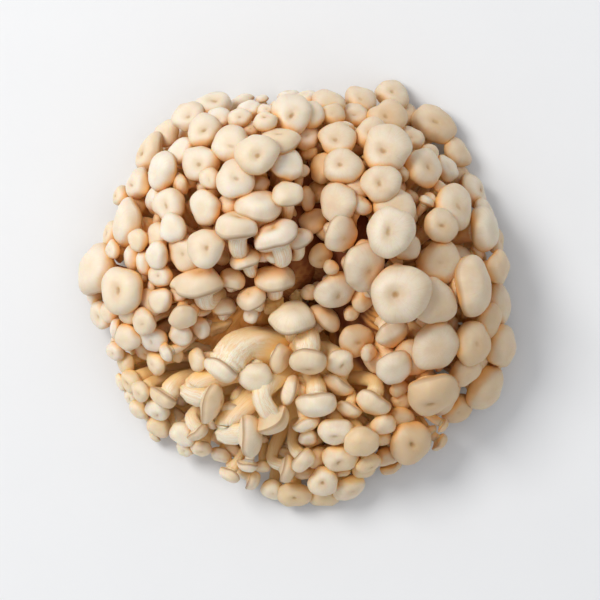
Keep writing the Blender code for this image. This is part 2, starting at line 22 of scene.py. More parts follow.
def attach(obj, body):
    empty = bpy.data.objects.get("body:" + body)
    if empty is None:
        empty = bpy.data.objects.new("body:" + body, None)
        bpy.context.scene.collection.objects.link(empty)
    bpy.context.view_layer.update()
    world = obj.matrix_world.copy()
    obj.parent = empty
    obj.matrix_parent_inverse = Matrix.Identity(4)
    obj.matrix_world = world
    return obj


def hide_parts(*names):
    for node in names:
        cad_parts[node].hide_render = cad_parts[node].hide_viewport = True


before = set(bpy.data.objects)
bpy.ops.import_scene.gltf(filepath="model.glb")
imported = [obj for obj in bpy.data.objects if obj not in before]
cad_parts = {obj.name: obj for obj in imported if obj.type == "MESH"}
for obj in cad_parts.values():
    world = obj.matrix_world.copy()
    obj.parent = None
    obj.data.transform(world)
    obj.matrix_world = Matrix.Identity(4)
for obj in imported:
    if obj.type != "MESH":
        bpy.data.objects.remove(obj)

MM = 0.001
LOG = logging.getLogger("mushroom_cluster")
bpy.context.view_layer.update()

Pair = tuple[float, float]
Triple = tuple[float, float, float]
Colour = tuple[float, float, float]
Ball = tuple[float, float, float, float]

# How far the outward direction of a cap dips, and how level it has to stay
OUTWARD_DIP = 0.2


class Slot(Enum):
    """The names of the bunches' material slots."""

    PALE = "pale_skin"
    CREAM = "cream_skin"
    WARM = "warm_skin"


@dataclass
class Mushroom:
    """One mushroom: where its cap is, how large it is and which way it faces.

    Lean is in degrees from facing straight up, and facing is the bearing of a leaning cap, in degrees
    from +X towards +Y. Tier 0 lies in the mound's surface, and each tier is lower. A stem of 0 has the
    usual share of the cap. The height z is worked out when the cluster grows. A dimple below 0 is
    drawn from the mushroom's own seed.
    """

    x: float
    y: float
    radius: float
    lean: float
    facing: float
    tier: float
    stem: float = 0.0
    z: float = 0.0
    dimple: float = -1.0

    @property
    def middle(self) -> Vector:
        """The middle of the cap's rim plane."""
        return Vector((self.x, self.y, self.z))

    @property
    def axis(self) -> Vector:
        """The direction that the cap faces."""
        lean, facing = math.radians(self.lean), math.radians(self.facing)
        flat = math.sin(lean)
        return Vector((flat * math.cos(facing), flat * math.sin(facing), math.cos(lean)))

    @property
    def outward(self) -> Vector:
        """The direction in the rim's plane that points away from the cluster's middle."""
        axis = self.axis
        away = Vector((self.x, self.y, 0.0)).normalized() + Vector((0, 0, -OUTWARD_DIP))
        away -= axis * away.dot(axis)
        if away.length < OUTWARD_DIP:
            away = Vector((0, 0, 1)) - axis * axis.z
        return away.normalized()


@dataclass
class BunchPlan:
    """One bunch's butt on the table, how far its core reaches, and its mushrooms."""

    name: str
    butt: Pair
    radius: float
    core: float
    slot: Slot
    mushrooms: list[Mushroom]
    undergrowth: list[Mushroom] = field(default_factory=list)


# Each row is x, y, cap radius, lean, facing, tier, and the stem radius where it is a thick one
LEFT_ROWS = (
    # the far edge, from left to right
    (-44, 97, 10, 45, 95, 1), (-55.5, 92, 8.5, 25, 130, 0), (-41, 90, 7, 20, 100, 0),
    (-67.5, 84, 8, 45, 135, 1), (-47.5, 84, 9, 20, 120, 0), (-30, 90, 6, 25, 100, 0),
    (-25, 95, 6, 35, 90, 1), (-17, 94, 4.5, 40, 90, 1), (-25, 85, 4.5, 20, 90, 1),
    (-4.5, 92.5, 10.5, 12, 90, -0.5), (5.5, 91, 7.5, 25, 60, 0.5), (-16, 86, 6.5, 50, 100, 0),
    (3, 80, 7, 30, 80, 2),
    # the left crest
    (-9.5, 79.5, 10, 54, 95, 0), (-34, 76.5, 10, 15, 140, 0), (-21.5, 71.5, 10.5, 8, 90, -1),
    (-8, 66, 8.5, 30, 60, 0.5), (-31.5, 59, 10, 15, 100, -0.5), (-6, 53.5, 8, 42, 90, 0),
    (-20, 46, 11, 50, 85, 0), (-35, 48, 5.5, 30, 120, 1), (-48.5, 67.5, 9.5, 20, 160, 0),
    (-45, 60.5, 5.5, 15, 180, 0), (-46.5, 45.5, 9, 35, 200, 0), (-59, 74, 7.5, 30, 150, 0),
    # the outer left slope, from the back to the front
    (-75, 74, 10.5, 65, 165, 1), (-68.5, 64, 10, 50, 175, 0), (-80, 58, 8.5, 58, 175, 1),
    (-89.5, 52.5, 5.5, 60, 170, 2), (-59, 58, 6, 70, 200, 1), (-65, 47, 9, 30, 170, 0),
    (-72.5, 51, 6.5, 50, 180, 1), (-86.5, 37.5, 12, 66, 180, 1), (-83.5, 47.5, 6.5, 50, 150, 2),
    (-94.5, 33.5, 7, 60, 165, 2), (-62, 34, 7.5, 25, 180, 0), (-71, 31.5, 7, 40, 185, 0),
    (-80, 30, 6, 40, 180, 0), (-46.5, 25.5, 9.5, 8, 120, -1), (-58.5, 24, 9.5, 30, 190, 0),
    (-83, 21.5, 6.5, 72, 185, 1), (-78, 19, 6.5, 72, 185, 1), (-70.5, 22, 7, 35, 185, 0),
    (-93, 25.5, 5, 50, 180, 1), (-102, 15, 13.5, 56, 165, 1), (-69.5, 12, 6.5, 30, 190, 0),
    (-88, 5, 12.5, 35, 180, 0), (-103.5, 2, 5.5, 60, 190, 3), (-100, -7.5, 7.5, 45, 195, 3),
    (-96, -6.5, 5.5, 40, 195, 2), (-86.5, -5.5, 7, 30, 200, 0), (-78, -10, 7, 35, 215, 0),
    (-74.5, -2, 7, 30, 200, 1), (-69.5, 0.5, 6.5, 20, 190, 0), (-60, 3.5, 4.5, 20, 180, 1),
    (-85, -19.5, 7.5, 40, 210, 1), (-75, -18.5, 8, 40, 240, 1), (-92.5, -25.5, 5.5, 45, 210, 2),
    (-77.5, -25.5, 6, 45, 240, 3), (-59.5, -17, 6.5, 35, 240, 1), (-57.5, -8, 7.5, 50, 290, 0),
    # the side that looks into the pit, where stems show under the caps
    (-48.5, 9.5, 12.5, 62, 95, 0), (-30.5, 34.5, 11, 64, 88, 0), (-12.5, 32, 11.5, 64, 110, 0),
    (-1, 30, 7.5, 58, 100, 1), (-28, 21.5, 7.5, 58, 110, 1), (-12, 9.5, 10, 58, 88, 1),
    (-24, 0.5, 7.5, 48, 125, 1), (-35.5, 10.5, 6.5, 45, 70, 1.5), (-38.5, -3.5, 6.5, 60, 80, 2),
)
RIGHT_ROWS = (
    # the valley and the far edge, from left to right
    (14, 98.5, 8.5, 30, 90, 1), (15.5, 93.5, 6.5, 20, 90, 0.5), (32, 100.5, 8.5, 30, 80, 1),
    (27.5, 92.5, 7, 25, 90, 2), (48, 101.5, 9, 35, 80, 1), (51, 96, 7.5, 25, 70, 0.5),
    (44, 91.5, 10, 25, 95, 0), (35.5, 83, 8.5, 20, 110, 0), (18.5, 79, 9.5, 20, 120, 0),
    (21.5, 65, 10, 25, 110, 0), (28.5, 56, 6.5, 20, 90, 1), (18, 48, 10, 25, 170, 0),
    (11.5, 67, 7.5, 35, 170, 1), (5, 74, 4.5, 30, 120, 2), (8.5, 54, 6.5, 30, 150, 2),
    (3.5, 50, 6, 70, 0, 2), (7, 39.5, 7, 30, 120, 2),
    # the right crest
    (43, 75, 12.5, 12, 130, -1), (55.5, 81, 7, 30, 60, 1), (67.5, 89, 11.5, 35, 55, 0),
    (65, 74, 5, 30, 50, 1), (61.5, 66, 10.5, 38, 25, 0), (73.5, 66, 7, 40, 40, 1),
    (41, 57, 10, 15, 100, 0), (46, 46, 10.5, 15, 90, 0.5), (44.5, 33.5, 12.5, 8, 90, -1),
    (53, 26, 7, 15, 0, 1), (70, 36.5, 9, 22, 20, 0), (70, 18, 11.5, 18, 10, 0),
    (49.5, 3, 15, 8, 200, -1.5), (65.5, 0, 12, 20, 0, -0.5), (76.5, 46, 12, 38, 20, 0),
    # the outer right slope, from the back to the front
    (82, 73.5, 8.5, 50, 30, 1), (79.5, 66, 7.5, 50, 35, 1.5), (86.5, 54.5, 10, 65, 20, 1),
    (93, 41.5, 9, 62, 10, 1), (90, 36, 11, 55, 5, 1), (98.5, 30, 7.5, 65, 5, 2),
    (94, 17.5, 8.5, 50, 0, 1.5), (84, 6.5, 15, 62, 5, 0), (87.5, 11, 16, 68, 20, 1),
    (99, 14, 7.5, 60, 5, 2.5), (99.5, -2.5, 11, 60, 0, 2), (94, -11, 9, 50, 345, 1),
    (83, -22.5, 11, 35, 350, 0.5), (89, -31, 10, 45, 330, 1.5), (99, -24, 11, 55, 350, 2),
    (97, -31, 9, 55, 340, 3),
    # the near right corner, where caps lie over each other like tiles
    (68.5, -23.5, 12.5, 20, 320, 0), (56.5, -28.5, 10, 30, 270, 1), (63.5, -42, 13.5, 52, 278, 0.5),
    (70, -46, 13, 50, 290, 1.5), (84.5, -35.5, 8.5, 38, 310, 1), (48.5, -33.5, 9.5, 35, 280, 0.5),
    (38.5, -31, 6.5, 40, 250, 2), (65, -51.5, 10.5, 45, 280, 2.5), (67, -56.5, 8, 45, 285, 3.5),
    (78.5, -54, 8.5, 40, 300, 3), (91, -42.5, 12, 50, 325, 2.5), (51, -50.5, 5.5, 35, 270, 1.5),
    (55, -70.5, 11.5, 28, 310, 1.5), (55.5, -76, 6.5, 45, 290, 3), (50, -60, 7.5, 40, 280, 1.5),
    (42.5, -79, 6, 40, 290, 2.5),
    # the side that looks into the pit
    (31.5, 16.5, 12.5, 42, 330, 0.5, 3.5), (17.5, 5, 10.5, 42, 300, 1, 3.4), (20.5, 34, 9.5, 42, 320, 1),
    (10, 22, 6.5, 40, 290, 2), (12, 34, 5, 30, 180, 2.5), (9, 6, 3.5, 30, 250, 2.5),
    (31, 0, 6, 30, 0, 2.5), (28, -20.5, 9, 30, 320, 1.5), (46, -16.5, 8.5, 50, 300, 1, 3.4),
    (12, -9, 8.5, 65, 50, 1.5),
)
FRONT_ROWS = (
    # the thick stems that arch out of the pit, and their caps
    (-39, -34.5, 9.5, 74, 238, 0, 7.8), (5, -30, 10, 64, 270, 0, 5.0), (19, -31.5, 7.5, 35, 300, 1, 4.4),
    (-4, -9, 11, 54, 85, 0.5, 3.2), (-22.5, -38.5, 8.3, 20, 270, 0, 5.2),
    # the middle of the front
    (19.5, -41.5, 8, 74, 238, 1), (8.5, -51.5, 10, 62, 270, 0, 4.2), (24.5, -54.5, 6.5, 72, 245, 1),
    (36.5, -52, 9, 66, 245, 0.5, 3.6), (18, -66.5, 9, 46, 268, 0, 3.4), (30.5, -70, 8.8, 28, 280, 0),
    (20.5, -79.5, 9, 45, 265, 1), (41.5, -61, 6.5, 45, 290, 1), (42.5, -70, 4.5, 45, 290, 1.5),
    (34, -81.5, 6.5, 58, 300, 1), (33, -85.5, 7, 50, 300, 2.5), (4, -68.5, 5, 45, 280, 1.5),
    (3, -62, 7, 78, 290, 1), (-14, -60, 9.5, 112, 310, 0, 4.4), (-5, -45, 8, 76, 160, 1, 3.4),
    (-10, -29, 7.5, 60, 350, 1), (-25, -68, 11, 78, 5, 0, 4.6), (-33, -54, 7.5, 85, 266, 1.5, 3.4),
    # the near edge
    (11.5, -91, 8, 25, 270, 1), (25, -93.5, 8.5, 52, 305, 2), (1.5, -80, 6.5, 62, 320, 1, 2.8),
    (9, -79, 6, 40, 330, 2), (-3, -98.5, 8.5, 40, 270, 2), (-6.5, -85, 7.5, 80, 350, 1.5, 2.8),
    (-24, -90.5, 5.5, 75, 340, 2.5), (-13.5, -96, 6.5, 45, 265, 2.5), (12.5, -98.5, 8, 35, 270, 3),
    (-40, -78, 5.5, 55, 250, 3.5), (-32, -84, 5.5, 62, 262, 3.5), (-19, -84, 5, 70, 275, 3),
    # the near left corner, where long stems lie nearly level
    (-84.5, -40.5, 6.5, 50, 205, 2, 3.2), (-79.5, -45.5, 5.5, 40, 220, 1.5, 3.0),
    (-84.5, -49, 5.5, 50, 215, 3, 3.0), (-81, -54.5, 5.5, 50, 225, 3, 3.0),
    (-71.5, -54.5, 7, 56, 250, 2, 3.6), (-71, -63.5, 6.3, 25, 240, 3, 3.4),
    (-59, -67.5, 7, 35, 240, 2, 3.8), (-58, -75, 5, 45, 240, 3, 3.0), (-50, -74.5, 5.5, 50, 265, 2.5, 3.4),
    (-68.5, -49, 8, 84, 240, 1, 4.2), (-43.5, -51, 10, 76, 345, 0, 4.6), (-51, -66, 6, 84, 312, 1, 3.4),
    (-50.5, -30, 6.5, 60, 190, 1), (-88, -32, 6, 50, 205, 2.5), (-72, -31, 6.5, 55, 200, 2),
)

# Each row is the place x, y of a dimple that the photo shows, and how deep and brown it is
DIMPLES = (
    (23, 77, 1.0), (26, 64, 0.9), (45, 88, 0.8), (67, 85, 0.8), (45, 71, 1.0), (57, 63, 0.9),
    (43, 55, 1.0), (44, 33, 0.8), (68, 32, 1.0), (73, 45, 0.5), (50, 5, 1.2), (66, -70, 1.2),
    (11, -91, 1.1), (-5, -98, 0.9), (-53, 91, 0.7), (-44, 84, 0.9), (-44, 70, 1.0), (-22, 72, 1.1),
    (-33, 63, 0.6), (-16, 86, 0.8), (-5, 93, 1.1), (-47, 28, 0.8), (-10, 82, 0.5), (-87, 9, 1.0),
    (-63, 48, 0.7), (-27, -13, 0.3),
)

# Each row is x, y, cap radius and height of a young mushroom that fills a gap of the front bunch
FILLERS = (
    (-60.0, -48.5, 5.6, 11.0), (-60.5, -58.5, 5.2, 8.0), (-41.5, -69.0, 5.4, 10.0), (-34.5, -75.5, 5.6, 9.0),
    (-83.0, -26.0, 4.6, 9.0), (-52.0, -62.0, 5.0, 8.0),
)


@dataclass
class Growth:
    """How the cluster grows: the mound that its caps make, the skirt of low caps, and how they settle."""

    plans: tuple[BunchPlan, ...]
    seed: int = 11
    crown_height: float = 66.0
    rim_height: float = 13.0
    front_drop: float = 0.36
    front_start: float = 0.5
    front_slope: float = 0.8
    front_reach: float = 30.0
    outline_reach: float = 110.0
    # rows of order, share of the reach, and phase
    outline_waves: tuple = ((2, 0.035, 0.9), (3, 0.045, 1.5))
    tier_depth: float = 6.5
    sunk_share: float = 0.25
    # rows of x, y, reach along x, reach along y, and swell
    swellings: tuple = (
        (-26.0, 66.0, 30.0, 30.0, 9.0),
        (50.0, 32.0, 26.0, 44.0, 10.0),
        (2.0, 4.0, 19.0, 17.0, -27.0),
        (9.0, 52.0, 8.0, 22.0, -13.0),
    )
    # rows of count, height, inset and cap radius
    skirt_rows: tuple = ((27, 9.0, 8.0, 6.8), (18, 22.0, 9.0, 7.0))
    skirt_room: float = 0.92
    skirt_cover: float = 1.5
    skirt_jitter: float = 3.0
    skirt_sizes: Pair = (0.8, 1.15)
    skirt_leans: Pair = (62.0, 82.0)
    skirt_sway: float = 14.0
    lowest_lean: float = 10.0
    filler_lean: float = 70.0
    front_sector: Pair = (196.0, 308.0)
    back_bearing: float = 86.0
    off_centre: float = 0.30
    droop: float = 0.16
    least_clearance: float = 0.9
    cushion: float = 0.5
    bunch_gap: float = 0.35
    cap_gap: float = 0.3
    push_share: float = 0.2
    longest_move: float = 1.5
    yielding: Triple = (0.45, 0.45, 1.0)
    homing: Triple = (1.0, 1.0, 0.4)
    # balls that stand for a cap and its stem, in cap radii
    heart_rise: float = 0.08
    heart_radius: float = 0.42
    rim_balls: int = 6
    rim_reach: float = 0.72
    rim_rise: float = 0.12
    rim_radius: float = 0.31
    stem_balls: Pair = (0.8, 1.3)
    stem_radius: float = 0.30

    def everything(self) -> list[Mushroom]:
        """Every mushroom of the cluster, bunch by bunch."""
        return [m for plan in self.plans for m in plan.mushrooms]

    def outline_radius(self, bearing: float) -> float:
        """Plan radius of the mound's rim on a bearing in radians."""
        waves = sum(share * math.cos(order * bearing + phase) for order, share, phase in self.outline_waves)
        return self.outline_reach * (1 + waves)

    def mound_height(self, x: float, y: float) -> float:
        """Height of the mound's surface over the point x, y of the table."""
        bearing, out = math.atan2(y, x), math.hypot(x, y)
        reach = min(1.0, out / self.outline_radius(bearing))
        frontness = min(1.0, max(0.0, self.front_start - self.front_slope * math.sin(bearing)))
        frontness *= min(1.0, out / self.front_reach)
        rise = self.crown_height * (1 - self.front_drop * frontness)
        height = self.rim_height + rise * math.sqrt(1 - reach * reach)
        for centre_x, centre_y, reach_x, reach_y, swell in self.swellings:
            share = ((x - centre_x) / reach_x) ** 2 + ((y - centre_y) / reach_y) ** 2
            height += swell * math.exp(-share)
        return height

    def eccentricity(self, m: Mushroom) -> float:
        """How far off its middle a cap's dimple and stem sit, as a share of its radius."""
        return self.off_centre * min(1.0, math.hypot(m.x, m.y) / self.outline_reach)

    def bunch_at(self, bearing: float) -> int:
        """The index of the bunch that fills a bearing in degrees."""
        bearing %= 360
        if self.front_sector[0] < bearing < self.front_sector[1]:
            return 2
        return 0 if self.back_bearing < bearing < self.front_sector[1] else 1

    def keep_off_table(self, m: Mushroom) -> None:
        """Lifts a cap whose rim would come too near the table."""
        drop = m.radius * math.sin(math.radians(m.lean))
        m.z = max(m.z, drop * (1 + self.droop) + self.least_clearance + self.cushion)

    def add_skirt(self, rng: random.Random) -> None:
        """Adds the low mushrooms round the outside, wherever the listed caps leave room for one.

        Args:
            rng: the seeded source of the draws.
        """
        everything = self.everything()
        for row, (count, height, inset, radius) in enumerate(self.skirt_rows):
            for step in range(count):
                jitter = rng.uniform(-self.skirt_jitter, self.skirt_jitter)
                bearing = 360 * (step + 0.5 * row) / count + jitter
                cap_radius = radius * rng.uniform(*self.skirt_sizes)
                reach = self.outline_radius(math.radians(bearing)) - inset - rng.uniform(0, self.skirt_jitter)
                x, y = reach * math.cos(math.radians(bearing)), reach * math.sin(math.radians(bearing))
                spot = Vector((x, y, height))
                gaps = [(m.middle - spot).length / (m.radius + cap_radius) for m in everything]
                cover = min(math.hypot(m.x - x, m.y - y) / m.radius for m in everything)
                if min(gaps) < self.skirt_room or cover > self.skirt_cover:
                    continue
                lean = rng.uniform(*self.skirt_leans) + (self.lowest_lean if row == 0 else 0)
                facing = bearing + rng.uniform(-self.skirt_sway, self.skirt_sway)
                fresh = Mushroom(x, y, cap_radius, lean, facing, 0, 0, height)
                self.plans[self.bunch_at(bearing)].mushrooms.append(fresh)
                everything.append(fresh)

    def balls_of(self, m: Mushroom) -> list[Ball]:
        """Balls that fill a mushroom's cap and the top of its stem, as rows of x, y, z, radius."""
        axis, along, middle = m.axis, m.outward, m.middle
        across = axis.cross(along)
        neck = middle - along * (self.eccentricity(m) * m.radius)
        rows = [(*(middle + axis * (self.heart_rise * m.radius)), self.heart_radius * m.radius)]
        for step in range(self.rim_balls):
            turn = math.tau * step / self.rim_balls
            side = along * math.cos(turn) + across * math.sin(turn)
            spot = middle + (side * self.rim_reach + axis * self.rim_rise) * m.radius
            rows.append((*spot, self.rim_radius * m.radius))
        for drop in self.stem_balls:
            rows.append((*(neck - axis * (drop * m.radius)), self.stem_radius * m.radius))
        return rows

    def settle(self, rounds: int = 130, free_rounds: int = 30, spring: float = 0.025) -> None:
        """Moves caps that run into each other apart, mostly up and down.

        Args:
            rounds: how many times all caps are moved.
            free_rounds: how many of them, at the end, draw no cap back to its place.
            spring: share of its way home that a cap is drawn back in the other rounds.
        """
        everything = self.everything()
        owner = np.repeat(np.arange(len(everything)), len(self.balls_of(everything[0])))
        home = np.array([(m.x, m.y, m.z) for m in everything])
        bunch_of = np.array([b for b, plan in enumerate(self.plans) for _ in plan.mushrooms])
        own = bunch_of[owner][:, None] == bunch_of[owner][None, :]
        apart = np.where(own, self.cap_gap, 2 * self.bunch_gap)
        same = owner[:, None] == owner[None, :]
        for round_number in range(rounds):
            balls = np.array([row for m in everything for row in self.balls_of(m)])
            reach = balls[:, None, 3] + balls[None, :, 3] + apart
            first, second = np.nonzero(
                (np.abs(balls[:, None, 0] - balls[None, :, 0]) < reach)
                & (np.abs(balls[:, None, 1] - balls[None, :, 1]) < reach)
                & ~same
            )
            between = balls[first, :3] - balls[second, :3]
            distance = np.maximum(np.linalg.norm(between, axis=1), 1e-6)
            overlap = np.maximum(0.0, reach[first, second] - distance)
            strength = (self.push_share * overlap)[:, None]
            push = between / distance[:, None] * strength * np.array(self.yielding)
            moves = np.zeros_like(home)
            np.add.at(moves, owner[first], push)
            places = np.array([(m.x, m.y, m.z) for m in everything])
            drawn = spring if round_number < rounds - free_rounds else 0.0
            moves = np.clip(moves, -self.longest_move, self.longest_move)
            places += moves + drawn * (home - places) * np.array(self.homing)
            for m, place in zip(everything, places):
                m.x, m.y, m.z = (float(value) for value in place)
                self.keep_off_table(m)

    def grow(self) -> None:
        """Gives every mushroom its height, adds the skirt, settles the caps, and adds dimples and fillers."""
        rng = random.Random(self.seed)
        for m in self.everything():
            m.z = self.mound_height(m.x, m.y) - self.tier_depth * m.tier - self.sunk_share * m.radius
            self.keep_off_table(m)
        self.add_skirt(rng)
        self.settle()
        for x, y, dimple in DIMPLES:
            nearest = min(self.everything(), key=lambda m: math.hypot(m.x - x, m.y - y) / m.radius)
            nearest.dimple = dimple
        for x, y, radius, height in FILLERS:
            facing = math.degrees(math.atan2(y, x))
            self.plans[2].undergrowth.append(Mushroom(x, y, radius, self.filler_lean, facing, 0, 0, height))


@dataclass
class Core:
    """A bunch's core, where its stems have grown together, from the cut foot up and outward."""

    plan: BunchPlan
    spread: float = 16.0
    idle: float = 0.25
    flare: Pair = (0.02, 0.42)
    lump: float = 2.0
    lump_scale: float = 3.1
    warp: float = 0.8
    warp_scale: float = 2.3
    warp_place: Triple = (7.0, 3.0, 1.0)
    level: float = 1e-4
    tint: float = 0.5
    segments: int = 132
    rings: int = 72
    ridges: int = 30
    ridge_height: float = 3.2
    ridge_roundness: float = 0.6

    @property
    def butt(self) -> Vector:
        """The middle of the butt's cut face, on the table."""
        return Vector((*self.plan.butt, 0.0))

    def reach(self, directions: np.ndarray) -> np.ndarray:
        """How far the core reaches from its butt.

        Args:
            directions: unit directions, one to a row.

        Returns:
            The reach in each direction, in millimetres.
        """
        to_caps = np.array([m.middle - self.butt for m in self.plan.mushrooms])
        lengths = np.linalg.norm(to_caps, axis=1)
        shares = np.exp(self.spread * (directions @ (to_caps / lengths[:, None]).T - 1))
        pull = self.idle * self.plan.radius / self.plan.core + shares @ lengths
        full = np.maximum(self.plan.radius, self.plan.core * pull / (self.idle + shares.sum(axis=1)))
        low, high = self.flare
        flare = np.clip((directions[:, 2] - low) / (high - low), 0.0, 1.0)
        return self.plan.radius + (full - self.plan.radius) * flare * flare * (3 - 2 * flare)

    def covers(self, spot: Vector, margin: float) -> bool:
        """Whether a point lies in the core, or nearer to it than the margin."""
        out = spot - self.butt
        return out.length < float(self.reach(np.array([out.normalized()]))[0]) + margin

    def model(self, name: str, shade: "Shade") -> bpy.types.Object:
        """Models the core as a half sphere, drawn out to its reach and ridged by the stems in it.

        Args:
            name: the object's name.
            shade: how crowded each place is.

        Returns:
            The core's object.
        """
        ball = {"segments": self.segments, "ring_count": self.rings, "radius": 1.0}
        core = add_primitive(bpy.ops.mesh.primitive_uv_sphere_add, name, **ball)
        with editing(core):
            bpy.ops.mesh.select_all(action="SELECT")
            bpy.ops.mesh.bisect(plane_co=(0, 0, 0), plane_no=(0, 0, -1), clear_outer=True, use_fill=True)
        directions = vertex_array(core)
        directions /= np.maximum(np.linalg.norm(directions, axis=1), 1e-9)[:, None]
        flat = np.abs(directions[:, 2]) < self.level
        turn = np.arctan2(directions[:, 1], directions[:, 0])
        lumps = np.array([noise.noise(Vector(d) * self.lump_scale + self.butt) for d in directions])
        warp_place = Vector(self.warp_place)
        warp = np.array([noise.noise(Vector(d) * self.warp_scale + warp_place) for d in directions])
        ridge = np.abs(np.sin(self.ridges * (turn + self.warp * warp) / 2)) ** self.ridge_roundness - 1
        fade = np.clip(1 - directions[:, 2] ** 4, 0, 1)
        depth = np.where(flat, 0.0, self.lump * lumps + self.ridge_height * ridge * fade)
        places = np.array(self.butt) + directions * (self.reach(directions) + depth)[:, None]
        set_vertices(core, places * MM)
        mark(core, "polar", np.column_stack([np.cos(turn) * 2, np.sin(turn) * 2, directions[:, 2]]))
        shade.paint(core, places, self.tint, np.where(flat, 0.0, -ridge * fade), None)
        shade_smooth(core)
        return core


def bezier(points: list[Vector], t: float) -> Vector:
    """The point at t of a cubic Bezier."""
    a, b, c, d = points
    s = 1 - t
    return a * s**3 + b * (3 * s * s * t) + c * (3 * s * t * t) + d * t**3


def bezier_direction(points: list[Vector], t: float) -> Vector:
    """The unit tangent at t of a cubic Bezier."""
    a, b, c, d = points
    s = 1 - t
    return ((b - a) * (s * s) + (c - b) * (2 * s * t) + (d - c) * (t * t)).normalized()


class editing:
    """Edit mode on one object, as a context, with nothing selected at its start."""

    def __init__(self, piece: bpy.types.Object) -> None:
        """Keeps the object to edit."""
        self.piece = piece

    def __enter__(self) -> None:
        """Enters edit mode on the piece alone."""
        bpy.ops.object.select_all(action="DESELECT")
        bpy.context.view_layer.objects.active = self.piece
        self.piece.select_set(True)
        bpy.ops.object.mode_set(mode="EDIT")
        bpy.ops.mesh.select_all(action="DESELECT")

    def __exit__(self, *problem: object) -> None:
        """Leaves edit mode."""
        bpy.ops.object.mode_set(mode="OBJECT")


def add_primitive(operator: Callable, name: str, **sizes: Any) -> bpy.types.Object:
    """Adds a primitive by its operator.

    Args:
        operator: the primitive's operator in bpy.ops.
        name: the new object's name.
        **sizes: the operator's own settings.

    Returns:
        The new object.
    """
    bpy.ops.object.select_all(action="DESELECT")
    operator(**sizes)
    piece = bpy.context.object
    piece.name = piece.data.name = name
    return piece


def vertex_array(piece: bpy.types.Object) -> np.ndarray:
    """The piece's vertices, one to a row."""
    flat = np.empty(len(piece.data.vertices) * 3)
    piece.data.vertices.foreach_get("co", flat)
    return flat.reshape(-1, 3)


def set_vertices(piece: bpy.types.Object, places: np.ndarray) -> None:
    """Moves the piece's vertices to the given rows."""
    piece.data.vertices.foreach_set("co", np.ascontiguousarray(places, dtype=np.float32).ravel())
    piece.data.update()


def copy_of(master: bpy.types.Object, name: str) -> bpy.types.Object:
    """A copy of a piece, with its own mesh."""
    piece = bpy.data.objects.new(name, master.data.copy())
    bpy.context.scene.collection.objects.link(piece)
    return piece


def mark(piece: bpy.types.Object, name: str, values: np.ndarray) -> None:
    """Stores a vector on each vertex, for the finishes to read.

    Args:
        piece: the object whose vertices are marked.
        name: the attribute's name.
        values: one row of three for each vertex.
    """
    attribute = piece.data.attributes.new(name, "FLOAT_VECTOR", "POINT")
    attribute.data.foreach_set("vector", np.ascontiguousarray(values, dtype=np.float32).ravel())


def shade_smooth(piece: bpy.types.Object) -> None:
    """Shades every face of the piece smooth."""
    piece.data.polygons.foreach_set("use_smooth", [True] * len(piece.data.polygons))
    piece.data.update()


def join_pieces(pieces: list[bpy.types.Object], name: str) -> bpy.types.Object:
    """Joins copies into one object.

    Args:
        pieces: the objects to join.
        name: the joined object's name.

    Returns:
        The joined object.
    """
    bpy.ops.object.select_all(action="DESELECT")
    for piece in pieces:
        piece.select_set(True)
    bpy.context.view_layer.objects.active = pieces[0]
    bpy.ops.object.join()
    pieces[0].name = pieces[0].data.name = name
    return pieces[0]


@dataclass
class StemLine:
    """The line that a stem follows from its core to its cap, and how thick it is."""

    growth: Growth
    neck_drop: float = 0.54
    neck_share: float = 0.36
    least: float = 1.9
    most: float = 4.2
    # swelling, rise and bend
    habit: Triple = (0.18, 0.0, 0.40)
    thick_habit: Triple = (0.55, 0.8, 0.56)
    foot_sunk: float = 6.0
    foot_share: float = 0.5
    foot_clearance: float = 0.8
    neck_clearance: float = 1.0
    least_rise: float = 0.05
    least_handle: float = 0.5

    def radius(self, m: Mushroom) -> float:
        """The stem's radius."""
        return m.stem or min(self.most, max(self.least, self.neck_share * m.radius))

    def habit_of(self, m: Mushroom) -> Triple:
        """The stem's swelling, rise and bend: the thick ones arch up out of the pit."""
        return self.thick_habit if m.stem > self.most else self.habit

    def path(self, core: Core, m: Mushroom) -> list[Vector]:
        """The stem's Bezier points, from its foot in the core to the cap's neck."""
        radius, axis = self.radius(m), m.axis
        inward = self.growth.eccentricity(m) * m.radius
        neck = m.middle - axis * (self.neck_drop * m.radius) - m.outward * inward
        swelling, rise, bend = self.habit_of(m)
        out = ((neck - core.butt).normalized() + Vector((0, 0, rise))).normalized()
        reach = float(core.reach(np.array([out]))[0])
        root = core.butt + out * (reach - self.foot_sunk - self.foot_share * radius)
        root.z = max(root.z, radius * (1 + swelling) + self.foot_clearance)
        handle = bend * (neck - root).length
        room = (neck.z - radius - self.neck_clearance) / max(axis.z, self.least_rise)
        near = max(self.least_handle, min(handle, room))
        return [root, root + out * handle, neck - axis * near, neck]


